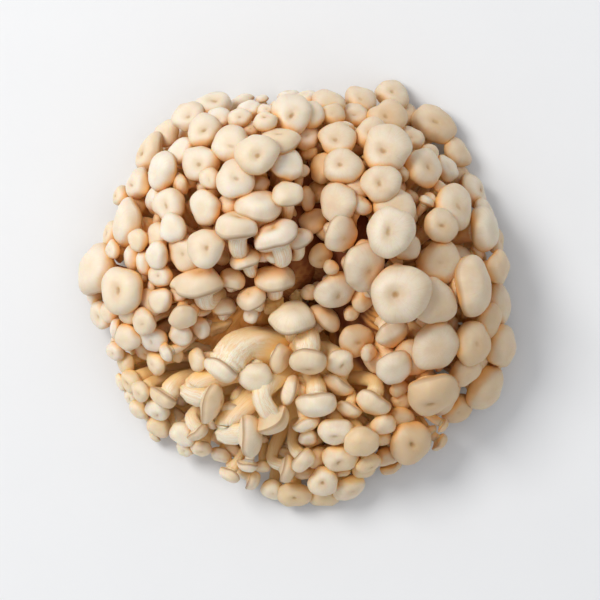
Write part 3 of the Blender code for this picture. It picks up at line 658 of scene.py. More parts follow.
@dataclass
class Undergrowth:
    """The small mushrooms in the pockets between the settled caps, which move none of them."""

    growth: Growth
    line: StemLine
    tries: int = 9000
    most: int = 150
    radii: Pair = (3.6, 6.6)
    depths: Pair = (5.0, 26.0)
    inset: float = 14.0
    room: float = 0.62
    sparse: float = 0.35
    low: float = 14.0
    sunk: float = 0.3
    least_height: float = 1.4
    overhang: float = 0.8
    turn: float = 25.0
    sway: float = 12.0
    leans: Triple = (8.0, 95.0, 85.0)
    lean_power: float = 1.5
    stem_steps: range = range(3, 9)
    stem_girth: float = 1.25
    stem_view: float = 1.5

    def blocked(self) -> list[Ball]:
        """Balls along the stout stems and above them, where no small cap may hide them."""
        rows = []
        for plan in self.growth.plans:
            for m in plan.mushrooms:
                if m.stem:
                    path, above = self.line.path(Core(plan), m), Vector((0, 0, m.stem * self.stem_view))
                    spots = [bezier(path, step / self.stem_steps[-1]) for step in self.stem_steps]
                    rows += [(*spot, self.stem_girth * m.stem) for spot in spots]
                    rows += [(*(spot + above), m.stem) for spot in spots]
        return rows

    def grow(self, rng: random.Random) -> None:
        """Fills the pockets.

        Args:
            rng: the seeded source of the draws.
        """
        growth = self.growth
        settled = [(plan, m) for plan in growth.plans for m in plan.mushrooms + plan.undergrowth]
        balls = np.array([row for _, m in settled for row in growth.balls_of(m)] + self.blocked())
        places = np.array([tuple(m.middle) for _, m in settled])
        radii = np.array([m.radius for _, m in settled])
        cores = [Core(plan) for plan in growth.plans]
        found = 0
        for _ in range(self.tries):
            bearing, share = rng.uniform(0, math.tau), math.sqrt(rng.random())
            reach = share * (growth.outline_radius(bearing) - self.inset)
            x, y = reach * math.cos(bearing), reach * math.sin(bearing)
            radius, depth = rng.uniform(*self.radii), rng.uniform(*self.depths)
            turn, sway = rng.uniform(-self.turn, self.turn), rng.uniform(-self.sway, self.sway)
            luck = rng.random()
            spot = np.array((x, y, growth.mound_height(x, y) - depth - self.sunk * radius))
            if spot[2] < self.least_height * radius or found >= self.most:
                continue
            room = np.linalg.norm(balls[:, :3] - spot, axis=1) - balls[:, 3]
            aside = np.linalg.norm(places[:, :2] - spot[:2], axis=1) - self.overhang * radii
            if room.min() < self.room * radius or np.any((aside < 0) & (places[:, 2] < spot[2])):
                continue
            plan = settled[int(np.argmin(np.linalg.norm(places - spot, axis=1)))][0]
            if plan.slot is Slot.WARM and luck > self.sparse and depth < self.low:
                continue
            if any(core.covers(Vector(spot), self.overhang * radius) for core in cores):
                continue
            least, slope, most = self.leans
            lean = min(most, slope * share**self.lean_power + least) + sway
            fresh = Mushroom(x, y, radius, lean, math.degrees(bearing) + turn, 0, 0, float(spot[2]))
            growth.keep_off_table(fresh)
            plan.undergrowth.append(fresh)
            balls = np.vstack([balls, growth.balls_of(fresh)])
            found += 1
        LOG.info("undergrowth: %d mushrooms", found)


@dataclass
class Shade:
    """How closely the cluster crowds round a point, from 0 in the open to 1 in the deepest pocket: the
    finishes paint it into their colour as shade.
    """

    balls: np.ndarray
    reach: float = 30.0
    strength: float = 0.55
    block: int = 1500
    own_reach: float = 0.95
    wrap: float = 0.15

    @classmethod
    def of(cls, growth: Growth) -> "Shade":
        """The shade that all the cluster's mushrooms give."""
        everything = growth.everything() + [m for plan in growth.plans for m in plan.undergrowth]
        return cls(np.array([row for m in everything for row in growth.balls_of(m)]))

    def crowding(self, places: np.ndarray, normals: np.ndarray, own: Optional[Mushroom]) -> np.ndarray:
        """How crowded each place is on the side that it faces.

        Args:
            places: the places in millimetres, one to a row.
            normals: the unit direction that each place faces.
            own: the mushroom that the places are on, whose own balls don't count.

        Returns:
            The shade at each place.
        """
        result = np.empty(len(places))
        for start in range(0, len(places), self.block):
            block, faces = places[start : start + self.block], normals[start : start + self.block]
            low, high = block.min(axis=0) - self.reach, block.max(axis=0) + self.reach
            near = np.all((self.balls[:, :3] > low) & (self.balls[:, :3] < high), axis=1)
            if own is not None:
                away = np.linalg.norm(self.balls[:, :3] - np.array(own.middle), axis=1)
                near &= away > self.own_reach * own.radius
            near = self.balls[near]
            between = near[None, :, :3] - block[:, None, :]
            distance = np.maximum(np.linalg.norm(between, axis=2), near[None, :, 3])
            facing = np.clip((between * faces[:, None, :]).sum(axis=2) / distance + self.wrap, 0, 1)
            cover = facing * (near[None, :, 3] / distance) ** 2
            result[start : start + self.block] = 1 - np.exp(-self.strength * cover.sum(axis=1))
        return result

    def paint(
        self, piece: bpy.types.Object, places: np.ndarray, tint: float, hollow: Any, own: Optional[Mushroom]
    ) -> None:
        """Stores a piece's own tint, its hollows, and the shade that its finish paints, as one vector.

        Args:
            piece: the object whose vertices are marked.
            places: its vertices' places in millimetres.
            tint: where the piece is between its palest and its deepest colour.
            hollow: how brown its dimple is, or how deep in a furrow each vertex lies.
            own: the mushroom that the piece is part of.
        """
        normals = np.empty(len(places) * 3)
        piece.data.vertices.foreach_get("normal", normals)
        shade = self.crowding(places, normals.reshape(-1, 3), own)
        ones = np.ones_like(shade)
        # the third number is the shade that the finishes paint into the colour
        mark(piece, "look", np.column_stack([ones * tint, ones * hollow, shade]))


@dataclass
class TurnedForm:
    """A form turned on a wheel: a circle extruded ring by ring up a profile and closed at both ends."""

    profile: tuple[Pair, ...]
    sides: int

    def model(self, name: str) -> bpy.types.Object:
        """Models the form, with the profile's shares and heights as its radii and heights.

        Args:
            name: the object's name.

        Returns:
            The form's object, which each copy starts from.
        """
        (share, height), *rest = self.profile
        circle = {"vertices": self.sides, "radius": share, "location": (0, 0, height)}
        form = add_primitive(bpy.ops.mesh.primitive_circle_add, name, **circle)
        bpy.ops.object.transform_apply(location=True)
        with editing(form):
            bpy.ops.mesh.select_all(action="SELECT")
            bpy.ops.mesh.edge_face_add()
            bpy.ops.mesh.poke()
            bpy.ops.mesh.select_all(action="DESELECT")
            bpy.ops.mesh.select_non_manifold()
            for next_share, next_height in rest:
                bpy.ops.mesh.extrude_region_move(
                    TRANSFORM_OT_translate={"value": (0, 0, next_height - height)}
                )
                scale = next_share / share
                bpy.ops.transform.resize(value=(scale, scale, 1), center_override=(0, 0, next_height))
                share, height = next_share, next_height
            bpy.ops.mesh.edge_face_add()
            bpy.ops.mesh.poke()
            bpy.ops.mesh.select_all(action="SELECT")
            bpy.ops.mesh.normals_make_consistent(inside=False)
        shade_smooth(form)
        return form


# Caps under the first radius are young and full, and those over the second may have a whole dimple
YOUNG_RADIUS, DIMPLE_RADIUS = 7.0, 8.0
YOUNG_FULLNESS = 1.14


@dataclass
class Traits:
    """What sets one mushroom apart from the next, drawn from its own seed."""

    oval: float
    wave: float
    frill: float
    curl: float
    dimple: float
    dimple_width: float
    stretch: float
    fullness: float
    tint: float
    twist: float

    @classmethod
    def of(cls, m: Mushroom) -> "Traits":
        """The traits of one mushroom."""
        rng = random.Random(f"{m.radius} {m.lean} {m.facing}")
        turns = [rng.uniform(0, math.tau) for _ in range(4)]
        drawn = max(0.0, rng.uniform(-0.9, 1.0)) * min(1.0, m.radius / DIMPLE_RADIUS)
        return cls(
            *turns,
            dimple=drawn if m.dimple < 0 else m.dimple,
            dimple_width=rng.uniform(0.13, 0.32),
            stretch=rng.uniform(0.0, 0.5),
            fullness=rng.uniform(0.90, 1.12) * (YOUNG_FULLNESS if m.radius < YOUNG_RADIUS else 1.0),
            tint=rng.random(),
            twist=rng.uniform(0, 50),
        )

    @property
    def key(self) -> Vector:
        """A point of the noise that belongs to this mushroom alone."""
        return Vector((self.twist, self.frill, self.curl))


@dataclass
class CapForm:
    """A cap: gills that run up from its stem, a thick rolled margin, a puffed top and a dimple."""

    growth: Growth
    shade: Shade
    gill_profile: tuple = (
        (0.05, -0.50), (0.20, -0.53), (0.35, -0.555), (0.43, -0.47), (0.53, -0.385), (0.63, -0.315),
        (0.73, -0.26), (0.82, -0.22), (0.895, -0.185),
    )
    skin_profile: tuple = (
        (0.95, -0.15), (0.985, -0.10), (1.0, -0.03), (0.992, 0.06), (0.965, 0.16), (0.92, 0.25),
        (0.855, 0.335), (0.77, 0.41), (0.66, 0.475), (0.53, 0.53), (0.40, 0.562), (0.28, 0.58),
        (0.17, 0.588), (0.09, 0.59), (0.03, 0.59),
    )
    widest: float = -0.03
    oval: float = 0.05
    wave: float = 0.042
    frill: float = 0.015
    sag: float = 0.06
    gill_depth: float = 0.018
    gill_start: float = 0.3
    gill_span: float = 0.62
    gill_least: float = 0.32
    dimple_depth: float = 0.080
    dimple_least: float = 0.06
    large_radius: float = 8.0
    small_sides: int = 42
    large_sides: int = 56
    pocket_sides: int = 22
    bulge: float = 0.065
    bulge_scale: float = 1.5
    bulge_rise: float = 0.8
    tip_width: float = 0.24
    fine_frill: float = 0.7
    skin_rise: float = 0.004
    slack: float = 0.001
    # a tip's direction x, y and its length, for the two pointed caps
    tips: dict = field(
        default_factory=lambda: {"12.5 62 95": (-1.0, 0.15, 0.26), "11 54 85": (-1.0, -0.3, 0.20)}
    )
    masters: dict = field(default_factory=dict)

    def master(self, sides: int) -> bpy.types.Object:
        """The cap of unit radius that caps with so many sides are copied from."""
        if sides not in self.masters:
            form = TurnedForm(self.gill_profile + self.skin_profile, sides)
            self.masters[sides] = form.model(f"cap_of_{sides}_sides")
            edge = self.skin_profile[0][1] + self.skin_rise
            for face in self.masters[sides].data.polygons:
                face.material_index = 0 if face.center.z > edge or face.normal.z > 0 else 1
        return self.masters[sides]

    def outline(self, m: Mushroom, traits: Traits, turn: np.ndarray, share: np.ndarray) -> np.ndarray:
        """The cap's reach on each bearing, as a share of its radius.

        Args:
            m: the mushroom.
            traits: its traits.
            turn: each vertex's bearing round the cap's axis.
            share: each vertex's distance from the axis, in radii.

        Returns:
            The reach of each vertex's bearing.
        """
        reach = 1 + self.oval * np.cos(2 * turn + traits.oval) + self.wave * np.cos(3 * turn + traits.wave)
        frill = np.cos(5 * turn + traits.frill) + self.fine_frill * np.cos(8 * turn + traits.curl)
        reach += self.frill * frill * share**2
        tip = self.tips.get(f"{m.radius} {m.lean} {m.facing}")
        if tip:
            along = m.outward
            way = Vector((*tip[:2], 0))
            aim = math.atan2(way.dot(m.axis.cross(along)), way.dot(along))
            off = np.arctan2(np.sin(turn - aim), np.cos(turn - aim))
            reach += tip[2] * np.exp(-((off / self.tip_width) ** 2)) * share**3
        return reach

    def model(self, m: Mushroom, number: int, sides: int = 0) -> bpy.types.Object:
        """Models one cap in its place.

        Args:
            m: the mushroom whose cap it is.
            number: tells this cap's object from the others'.
            sides: its sides, or 0 for as many as its size asks.

        Returns:
            The cap's object.
        """
        sides = sides or (self.large_sides if m.radius >= self.large_radius else self.small_sides)
        master = self.master(sides)
        cap = copy_of(master, f"cap_{number}")
        unit, traits = vertex_array(master), Traits.of(m)
        share, turn = np.hypot(unit[:, 0], unit[:, 1]), np.arctan2(unit[:, 1], unit[:, 0])
        height = unit[:, 2].copy()
        top = height > self.skin_profile[0][1] - self.slack
        inward = self.growth.eccentricity(m)
        stretch = share * (1 + traits.stretch * np.cos(2 * (turn - traits.curl)) * (1 - share))
        height[top] *= traits.fullness
        hollow = np.exp(-((stretch / traits.dimple_width) ** 2))
        height[top] -= (self.dimple_depth * (self.dimple_least + traits.dimple) * hollow)[top]
        along_gill = np.clip((share - self.gill_start) / self.gill_span, 0, 1)
        ridge = np.cos(sides / 2 * turn) * np.sin(np.pi * along_gill)
        height[~top] += self.gill_depth * ridge[~top] * (share[~top] > self.gill_least)
        height += self.sag * share**4 * np.cos(3 * turn + traits.curl)
        lip = self.growth.droop * share**2 * np.maximum(0.0, np.cos(turn)) * inward / self.growth.off_centre
        axis, along = np.array(m.axis), np.array(m.outward)
        across = np.cross(axis, along)
        sides_way = along * np.cos(turn)[:, None] + across * np.sin(turn)[:, None]
        reach = share * m.radius * self.outline(m, traits, turn, share)
        places = np.array(m.middle) + axis * ((height - lip) * m.radius)[:, None] + sides_way * reach[:, None]
        places -= along * (inward * m.radius * np.maximum(0.0, 1 - share))[:, None]
        bulges = np.array([noise.noise(Vector(row) * self.bulge_scale + traits.key) for row in unit])
        swell = (bulges * self.bulge * m.radius)[:, None]
        places += (sides_way * share[:, None] + axis * self.bulge_rise) * swell
        set_vertices(cap, places * MM)
        along_skin = np.where(unit[:, 2] > self.widest - self.slack, stretch, 2 - share)
        mark(cap, "polar", np.column_stack([np.cos(turn), np.sin(turn), along_skin]))
        self.shade.paint(cap, places, traits.tint, traits.dimple, m)
        return cap


@dataclass
class StemForm:
    """A stem: it bends from the core to its cap, swells at its foot and flares into the gills."""

    line: StemLine
    shade: Shade
    fibre: float = 0.06
    lumps: float = 1.6
    knobs: float = 2.6
    thick_knobs: float = 2.4
    # rows of scale round the stem, scale along it and way through the noise: lumps, grooves and knobs
    grains: tuple[Triple, ...] = ((1.3, 1.6, 1.0), (5.0, 0.6, 1.0), (1.7, 4.5, -1.0))
    sway: Pair = (0.05, 5.0)
    neck_swell: float = 0.22
    neck_from: float = 0.72
    easing: int = 6
    sides: int = 18
    stations: int = 15
    # rows of rise in cap radii, width in stem radii and least width in cap radii
    flare: tuple[Triple, ...] = ((0.10, 1.08, 0.43), (0.20, 1.16, 0.54), (0.36, 1.0, 0.44))
    masters: dict = field(default_factory=dict)

    def master(self, sides: int) -> bpy.types.Object:
        """The straight stem of unit radius that stems with so many sides are copied from."""
        if sides not in self.masters:
            rings = self.stations + len(self.flare)
            form = TurnedForm(tuple((1.0, float(ring)) for ring in range(rings)), sides)
            self.masters[sides] = form.model(f"stem_of_{sides}_sides")
        return self.masters[sides]

    def rings(self, core: Core, m: Mushroom, traits: Traits) -> list[tuple[Vector, Vector, float, float]]:
        """The rings that the stem is threaded on.

        Args:
            core: the core that the stem grows from.
            m: the stem's mushroom.
            traits: its traits.

        Returns:
            The centre, direction, radius and share of the way of each ring, from the foot to the gills.
        """
        path, radius = self.line.path(core, m), self.line.radius(m)
        swelling, (height, waves) = self.line.habit_of(m)[0], self.sway
        rings = []
        for station in range(self.stations):
            t = station / (self.stations - 1)
            swell = 1 + swelling * (1 - t) + height * math.sin(waves * t + traits.curl)
            swell += self.neck_swell * max(0.0, t - self.neck_from) / (1 - self.neck_from)
            rings.append((bezier(path, t), bezier_direction(path, t), radius * swell, t))
        for rise, widen, share in self.flare:
            width = max(radius * widen, share * m.radius)
            rings.append((path[3] + m.axis * (rise * m.radius), m.axis, width, 1.0 + rise))
        ways = [way for _, way, _, _ in rings]
        for _ in range(self.easing):
            ways[1:-1] = [(a + b * 2 + c).normalized() for a, b, c in zip(ways, ways[1:], ways[2:])]
        return [(centre, way, width, t) for (centre, _, width, t), way in zip(rings, ways)]

    def model(self, core: Core, m: Mushroom, number: int, sides: int = 0) -> bpy.types.Object:
        """Models one stem in its place.

        Args:
            core: the core that the stem grows from.
            m: the stem's mushroom.
            number: tells this stem's object from the others'.
            sides: its sides, or 0 for the usual number.

        Returns:
            The stem's object.
        """
        master = self.master(sides or self.sides)
        stem = copy_of(master, f"stem_{number}")
        unit = vertex_array(master)
        traits, along, thick = Traits.of(m), m.outward, m.stem > self.line.most
        rings = self.rings(core, m, traits)
        places, marks = np.empty_like(unit), np.empty_like(unit)
        for row, (x, y, z) in enumerate(unit):
            centre, tangent, width, t = rings[int(round(z))]
            turn, share = math.atan2(y, x), min(1.0, math.hypot(x, y))
            side = (along - tangent * along.dot(tangent)).normalized()
            spot = (math.cos(turn), math.sin(turn), t)
            lump, groove, knob = (
                noise.noise(Vector((spot[0] * around, spot[1] * around, t * up + way * traits.twist)))
                for around, up, way in self.grains
            )
            swell = (self.lumps + self.knobs * thick) * lump + self.thick_knobs * thick * knob + groove
            width *= share * (1 + self.fibre * swell)
            places[row] = centre + (side * spot[0] + tangent.cross(side) * spot[1]) * width
            marks[row] = spot
        set_vertices(stem, places * MM)
        mark(stem, "polar", marks)
        self.shade.paint(stem, places, traits.tint, 0.0, m)
        return stem


def sheet_noise(x: float, y: float, scale: float, key: float) -> float:
    """Noise at the point x, y of a sheet, where each key has a noise of its own."""
    return noise.noise(Vector((scale * x, scale * y, key)))


@dataclass
class Scrap:
    """A torn scrap of flesh: a thin ragged sheet that lies curled over the stems."""

    place: Triple
    length: float
    width: float
    bearing: float
    tilt: float = 0.0
    curl: float = 0.35
    thickness: float = 0.7
    rounding: float = 0.35
    arch: float = 0.3
    # scale and depth of the broad and the fine rags, and scale and height of the broad and the fine waves
    rags: tuple[Pair, Pair] = ((2.2, 0.30), (7.0, 0.16))
    waves: tuple[Pair, Pair] = ((1.4, 0.30), (3.5, 0.5))
    divisions: tuple[int, int] = (26, 16)
    tint: float = 0.8
    grain: float = 60.0

    def model(self, name: str, shade: Shade) -> bpy.types.Object:
        """Models the scrap as a grid, with a ragged edge, bent and then thickened.

        Args:
            name: the object's name.
            shade: how crowded each place is.

        Returns:
            The scrap's object.
        """
        columns, lines = self.divisions
        grid = {"x_subdivisions": columns, "y_subdivisions": lines, "size": 2.0}
        scrap = add_primitive(bpy.ops.mesh.primitive_grid_add, name, **grid)
        bearing, tilt = math.radians(self.bearing), math.radians(self.tilt)
        flat = math.cos(tilt)
        along = Vector((math.cos(bearing) * flat, math.sin(bearing) * flat, math.sin(tilt)))
        across = Vector((0, 0, 1)).cross(along).normalized()
        up = along.cross(across)
        (broad, depth), (fine, fine_depth) = self.rags
        (swell, height), (ripple, ripple_height) = self.waves
        places = []
        for x, y, _ in vertex_array(scrap):
            out, edge = x * x + y * y, max(abs(x), abs(y)) ** 4
            round_off = 1 - self.rounding * (out - x * x * y * y)
            rag = 1 + depth * sheet_noise(x, y, broad, self.bearing) * out
            rag += fine_depth * sheet_noise(x, y, fine, self.bearing) * edge
            rise = sheet_noise(x, y, swell, self.length) * height * self.width
            rise += ripple_height * sheet_noise(x, y, ripple, self.width)
            rise -= self.curl * self.width * (y * y + self.arch * x * x)
            spot = along * (0.5 * self.length * x * round_off * rag) + across * (0.5 * self.width * y * rag)
            places.append(tuple(Vector(self.place) + spot + up * rise))
        set_vertices(scrap, np.array(places) * MM)
        solidify = scrap.modifiers.new("thickness", "SOLIDIFY")
        solidify.thickness, solidify.offset = self.thickness * MM, 0.0
        bpy.ops.object.select_all(action="DESELECT")
        bpy.context.view_layer.objects.active = scrap
        bpy.ops.object.modifier_apply(modifier=solidify.name)
        places = vertex_array(scrap)
        mark(scrap, "polar", places * self.grain)
        shade.paint(scrap, places / MM, self.tint, 0.0, None)
        shade_smooth(scrap)
        return scrap


Value = Union[float, "Wire"]


@dataclass(frozen=True)
class Wire:
    """A shader socket that takes part in sums: each operator adds its Math node."""

    kit: "NodeKit"
    socket: bpy.types.NodeSocket

    def math(self, operation: str, *others: Value) -> "Wire":
        """Adds a Math node on this socket and others."""
        inputs = {0: self, **dict(enumerate(others, 1))}
        return self.kit.add("ShaderNodeMath", {"operation": operation}, inputs)

    def __add__(self, other: Value) -> "Wire":
        """The sum."""
        return self.math("ADD", other)

    def __sub__(self, other: Value) -> "Wire":
        """The difference."""
        return self.math("SUBTRACT", other)

    def __rsub__(self, other: float) -> "Wire":
        """The difference, with a number first."""
        return self.kit.add("ShaderNodeMath", {"operation": "SUBTRACT"}, {0: other, 1: self})

    def __mul__(self, other: Value) -> "Wire":
        """The product."""
        return self.math("MULTIPLY", other)

    def __pow__(self, other: float) -> "Wire":
        """The power."""
        return self.math("POWER", other)

    def clamped(self) -> "Wire":
        """This value between 0 and 1."""
        return self.kit.add("ShaderNodeClamp", {}, {"Value": self})

    def between(self, low: float, high: float) -> "Wire":
        """0 below low, 1 above high and smooth between them."""
        return self.kit.add(
            "ShaderNodeMapRange", {"interpolation_type": "SMOOTHSTEP"},
            {"Value": self, "From Min": low, "From Max": high},
        )


class NodeKit:
    """A material and the nodes that are added to it."""

    def __init__(self, name: str) -> None:
        """Makes the material, with its Principled shader."""
        self.material = bpy.data.materials.new(name)
        self.material.use_nodes = True
        self.tree = self.material.node_tree
        self.shader = self.tree.nodes["Principled BSDF"]

    def add(self, kind: str, settings: dict, inputs: dict, output: Union[int, str] = 0) -> Wire:
        """Adds a node.

        Args:
            kind: the node's type.
            settings: the node's own settings, which are set first.
            inputs: a value or a wire for each of its sockets, by name or number.
            output: the socket to go on with.

        Returns:
            The output socket, as a wire.
        """
        node = self.tree.nodes.new(kind)
        for key, value in settings.items():
            setattr(node, key, value)
        for key, value in inputs.items():
            self.feed(node.inputs[key], value)
        return Wire(self, node.outputs[output])

    def feed(self, socket: bpy.types.NodeSocket, value: Any) -> None:
        """Links a wire to a socket, or sets the socket's own value."""
        if isinstance(value, Wire):
            self.tree.links.new(value.socket, socket)
        elif isinstance(value, tuple) and len(value) == 3 and socket.type == "RGBA":
            socket.default_value = (*value, 1.0)
        else:
            socket.default_value = value

    def attribute(self, name: str) -> Wire:
        """Reads a vector that is stored on the piece's vertices."""
        return self.add("ShaderNodeAttribute", {"attribute_name": name}, {}, "Vector")

    def split(self, vector: Wire) -> tuple[Wire, Wire, Wire]:
        """The three numbers of a vector."""
        first = self.add("ShaderNodeSeparateXYZ", {}, {0: vector}, 0)
        outputs = first.socket.node.outputs
        return first, Wire(self, outputs[1]), Wire(self, outputs[2])

    def place(self) -> Wire:
        """The place on the piece, in metres."""
        return self.add("ShaderNodeTexCoord", {}, {}, "Object")

    def stretched(self, vector: Wire, scale: Triple) -> Wire:
        """A vector stretched along its axes."""
        return self.add("ShaderNodeVectorMath", {"operation": "MULTIPLY"}, {0: vector, 1: scale}, "Vector")

    def shifted(self, vector: Wire, shift: Wire) -> Wire:
        """A vector moved by another."""
        return self.add("ShaderNodeVectorMath", {"operation": "ADD"}, {0: vector, 1: shift}, "Vector")

    def noise(self, vector: Wire, scale: float, detail: float = 3.0, roughness: float = 0.55) -> Wire:
        """Noise from 0 to 1."""
        return self.add(
            "ShaderNodeTexNoise", {"noise_dimensions": "3D"},
            {"Vector": vector, "Scale": scale, "Detail": detail, "Roughness": roughness}, "Fac",
        )

    def mixed(self, share: Value, first: Any, second: Any) -> Wire:
        """A colour between two."""
        return self.add("ShaderNodeMix", {"data_type": "RGBA"}, {"Factor": share, 6: first, 7: second}, 2)

    def layered(self, colour: Any, *layers: tuple[Wire, Colour]) -> Wire:
        """Lays colours over the first one, each with a share that is kept between 0 and 1."""
        for share, over in layers:
            colour = self.mixed(share.clamped(), colour, over)
        return colour

    def bump(self, height: Wire, depth: float, strength: float) -> Wire:
        """A Bump node's normal, from a height over a depth in metres."""
        inputs = {"Height": height, "Distance": depth, "Strength": strength}
        return self.add("ShaderNodeBump", {}, inputs, "Normal")

    def finish(self, colour: Wire, roughness: Value, normal: Wire, **constants: Any) -> bpy.types.Material:
        """Feeds the shader.

        Args:
            colour: the base colour.
            roughness: the roughness.
            normal: the bumped normal.
            **constants: values of other sockets, with _ for the spaces in their names.

        Returns:
            The finished material.
        """
        self.feed(self.shader.inputs["Base Color"], colour)
        self.feed(self.shader.inputs["Roughness"], roughness)
        self.feed(self.shader.inputs["Normal"], normal)
        for key, value in constants.items():
            self.feed(self.shader.inputs[key.replace("_", " ")], value)
        return self.material


GLOW = {
    "Subsurface_Weight": 0.45,
    "Subsurface_Radius": (1.0, 0.46, 0.17),
    "Subsurface_Scale": 0.0019,
    "Specular_IOR_Level": 0.38,
}


@dataclass(frozen=True)
class PaintedShade:
    """Painted shade: the orange glow and then the deep brown that light gives flesh where the cluster crowds
    round it, painted into its colour.
    """

    warm: Colour = (0.93, 0.47, 0.12)
    dark: Colour = (0.17, 0.030, 0.005)
    warm_range: Pair = (0.16, 0.74)
    dark_range: Pair = (0.62, 0.93)
    warm_share: float = 0.88
    dark_share: float = 0.95

    def over(self, kit: NodeKit, colour: Wire, shade: Wire) -> Wire:
        """Lays the painted shade's colours over a finish.

        Args:
            kit: the material's nodes.
            colour: the finish's own colour.
            shade: how crowded the place is.

        Returns:
            The colour with its painted shade.
        """
        warm = shade.between(*self.warm_range) * self.warm_share
        dark = shade.between(*self.dark_range) * self.dark_share
        return kit.layered(colour, (warm, self.warm), (dark, self.dark))


@dataclass(frozen=True)
class Finish:
    """A finish of the flesh: each kind has its own colours and relief, with painted shade over them, and all
    have the same glow.

    A noise is its scale, detail and roughness. A range is where something starts and where it is whole.
    """

    def material(self, name: str, painted_shade: PaintedShade) -> bpy.types.Material:
        """Makes the material.

        Args:
            name: the material's name.
            painted_shade: the colours of crowded places.

        Returns:
            The material.
        """
        kit = NodeKit(name)
        return kit.finish(*self.surface(kit, painted_shade), **GLOW)

    def surface(self, kit: NodeKit, painted_shade: PaintedShade) -> tuple[Wire, Wire, Wire]:
        """Adds the nodes of the finish.

        Args:
            kit: the material's nodes.
            painted_shade: the colours of crowded places.

        Returns:
            The colour, the roughness and the bumped normal.
        """
        raise NotImplementedError


@dataclass(frozen=True)
class CapSkin(Finish):
    """Smooth matt skin: cream and beige, with a browned dimple and fine streaks; painted shade darkens its
    rim line, its edge and the side away from the lamp.
    """

    pale: Colour
    deep: Colour
    dimple: Colour = (0.60, 0.36, 0.16)
    spot: Colour = (0.46, 0.25, 0.09)
    # painted shadow: the colour of the thin dark line along the rim, where the rolled margin turns away and
    # meets the next cap
    margin: Colour = (0.42, 0.27, 0.15)
    # painted shade: the darker colour towards a cap's edge, where its dome turns away from the light
    edge_shade: Colour = (0.62, 0.45, 0.27)
    # how much of the painted shade of crowded places is cut from the caps, and how strongly it darkens them
    shade_cut: float = 0.07
    shade_gain: float = 1.07
    # painted shade on the near right, away from the lamp: its share, and where it starts and is whole, east
    # less north
    far_side_shade: float = 0.50
    far_side_range: Pair = (0.065, 0.125)
    drift_noise: Triple = (70.0, 2.0, 0.55)
    mottle_noise: Triple = (380.0, 4.0, 0.6)
    speck_noise: Triple = (1500.0, 3.0, 0.65)
    streak_noise: Triple = (2.2, 3.0, 0.6)
    streak_way: Triple = (9.0, 9.0, 0.8)
    crown_range: Pair = (0.0, 0.75)
    halo_range: Pair = (0.0, 0.52)
    spot_range: Pair = (0.03, 0.17)
    streak_range: Pair = (0.48, 0.72)
    speck_range: Pair = (0.54, 0.70)
    edge_shade_range: Pair = (0.58, 1.0)
    rim_shadow_ranges: tuple[Pair, Pair] = ((0.985, 1.01), (1.04, 1.07))
    rim_shadow_share: float = 0.9
    roughness: float = 0.37
    relief: Pair = (0.0006, 0.5)

    def surface(self, kit: NodeKit, painted_shade: PaintedShade) -> tuple[Wire, Wire, Wire]:
        """The skin's colour, roughness and normal."""
        place, polar = kit.place(), kit.attribute("polar")
        tint, dimple, shade = kit.split(kit.attribute("look"))
        share = kit.split(polar)[2]
        drift, mottle = kit.noise(place, *self.drift_noise), kit.noise(place, *self.mottle_noise)
        speck = kit.noise(place, *self.speck_noise)
        streak = kit.noise(kit.stretched(polar, self.streak_way), *self.streak_noise)
        east, north, _ = kit.split(place)
        # painted shade: the caps darken towards the near right, the side away from the lamp
        far_side_shade = (east - north).between(*self.far_side_range) * self.far_side_shade
        inner, outer = self.rim_shadow_ranges
        colour = kit.layered(
            self.pale,
            (drift * 1.1 + tint * 0.8 + mottle * 0.4 + far_side_shade - 0.75, self.deep),
            ((1 - share.between(*self.crown_range)) * (drift * 0.5 + tint * 0.35), self.deep),
            ((1 - share.between(*self.halo_range)) * dimple * (mottle * 0.5 + 0.20), self.dimple),
            ((1 - share.between(*self.spot_range)) * dimple * (mottle * 0.8 + 0.40), self.spot),
            (streak.between(*self.streak_range) * 0.34 + speck.between(*self.speck_range) * 0.24, self.deep),
            # painted shade: darker towards the cap's edge
            (share.between(*self.edge_shade_range) * (drift * 0.5 + 0.10), self.edge_shade),
            # painted shadow: a thin dark line along the rim
            (share.between(*inner) * (1 - share.between(*outer)) * self.rim_shadow_share, self.margin),
        )
        # painted shade of crowded places: orange, and then deep brown
        colour = painted_shade.over(kit, colour, shade * self.shade_gain - self.shade_cut)
        relief = mottle * 0.6 + speck * 0.25 + streak * 0.4
        return colour, mottle * 0.16 + self.roughness, kit.bump(relief, *self.relief)


@dataclass(frozen=True)
class GillFlesh(Finish):
    """Cream gills, with warm shade painted between the blades and over crowded places."""

    ridge: Colour = (0.90, 0.77, 0.54)
    # painted shade: the darker colour between the gill blades
    hollow: Colour = (0.66, 0.42, 0.20)
    pairs: float = 44.0
    mottle_noise: Triple = (500.0, 3.0, 0.55)
    blade_range: Pair = (0.15, 0.75)
    roughness: float = 0.6
    relief: Pair = (0.0003, 0.6)

    def surface(self, kit: NodeKit, painted_shade: PaintedShade) -> tuple[Wire, Wire, Wire]:
        """The gills' colour, roughness and normal."""
        right, front, _ = kit.split(kit.attribute("polar"))
        shade = kit.split(kit.attribute("look"))[2]
        stripe = (front.math("ARCTAN2", right) * self.pairs).math("SINE") * 0.5 + 0.5
        mottle = kit.noise(kit.place(), *self.mottle_noise)
        blades = stripe.between(*self.blade_range) * 0.75 + mottle * 0.3
        colour = painted_shade.over(kit, kit.layered(self.hollow, (blades, self.ridge)), shade)
        return colour, mottle * 0.1 + self.roughness, kit.bump(stripe + mottle * 0.2, *self.relief)


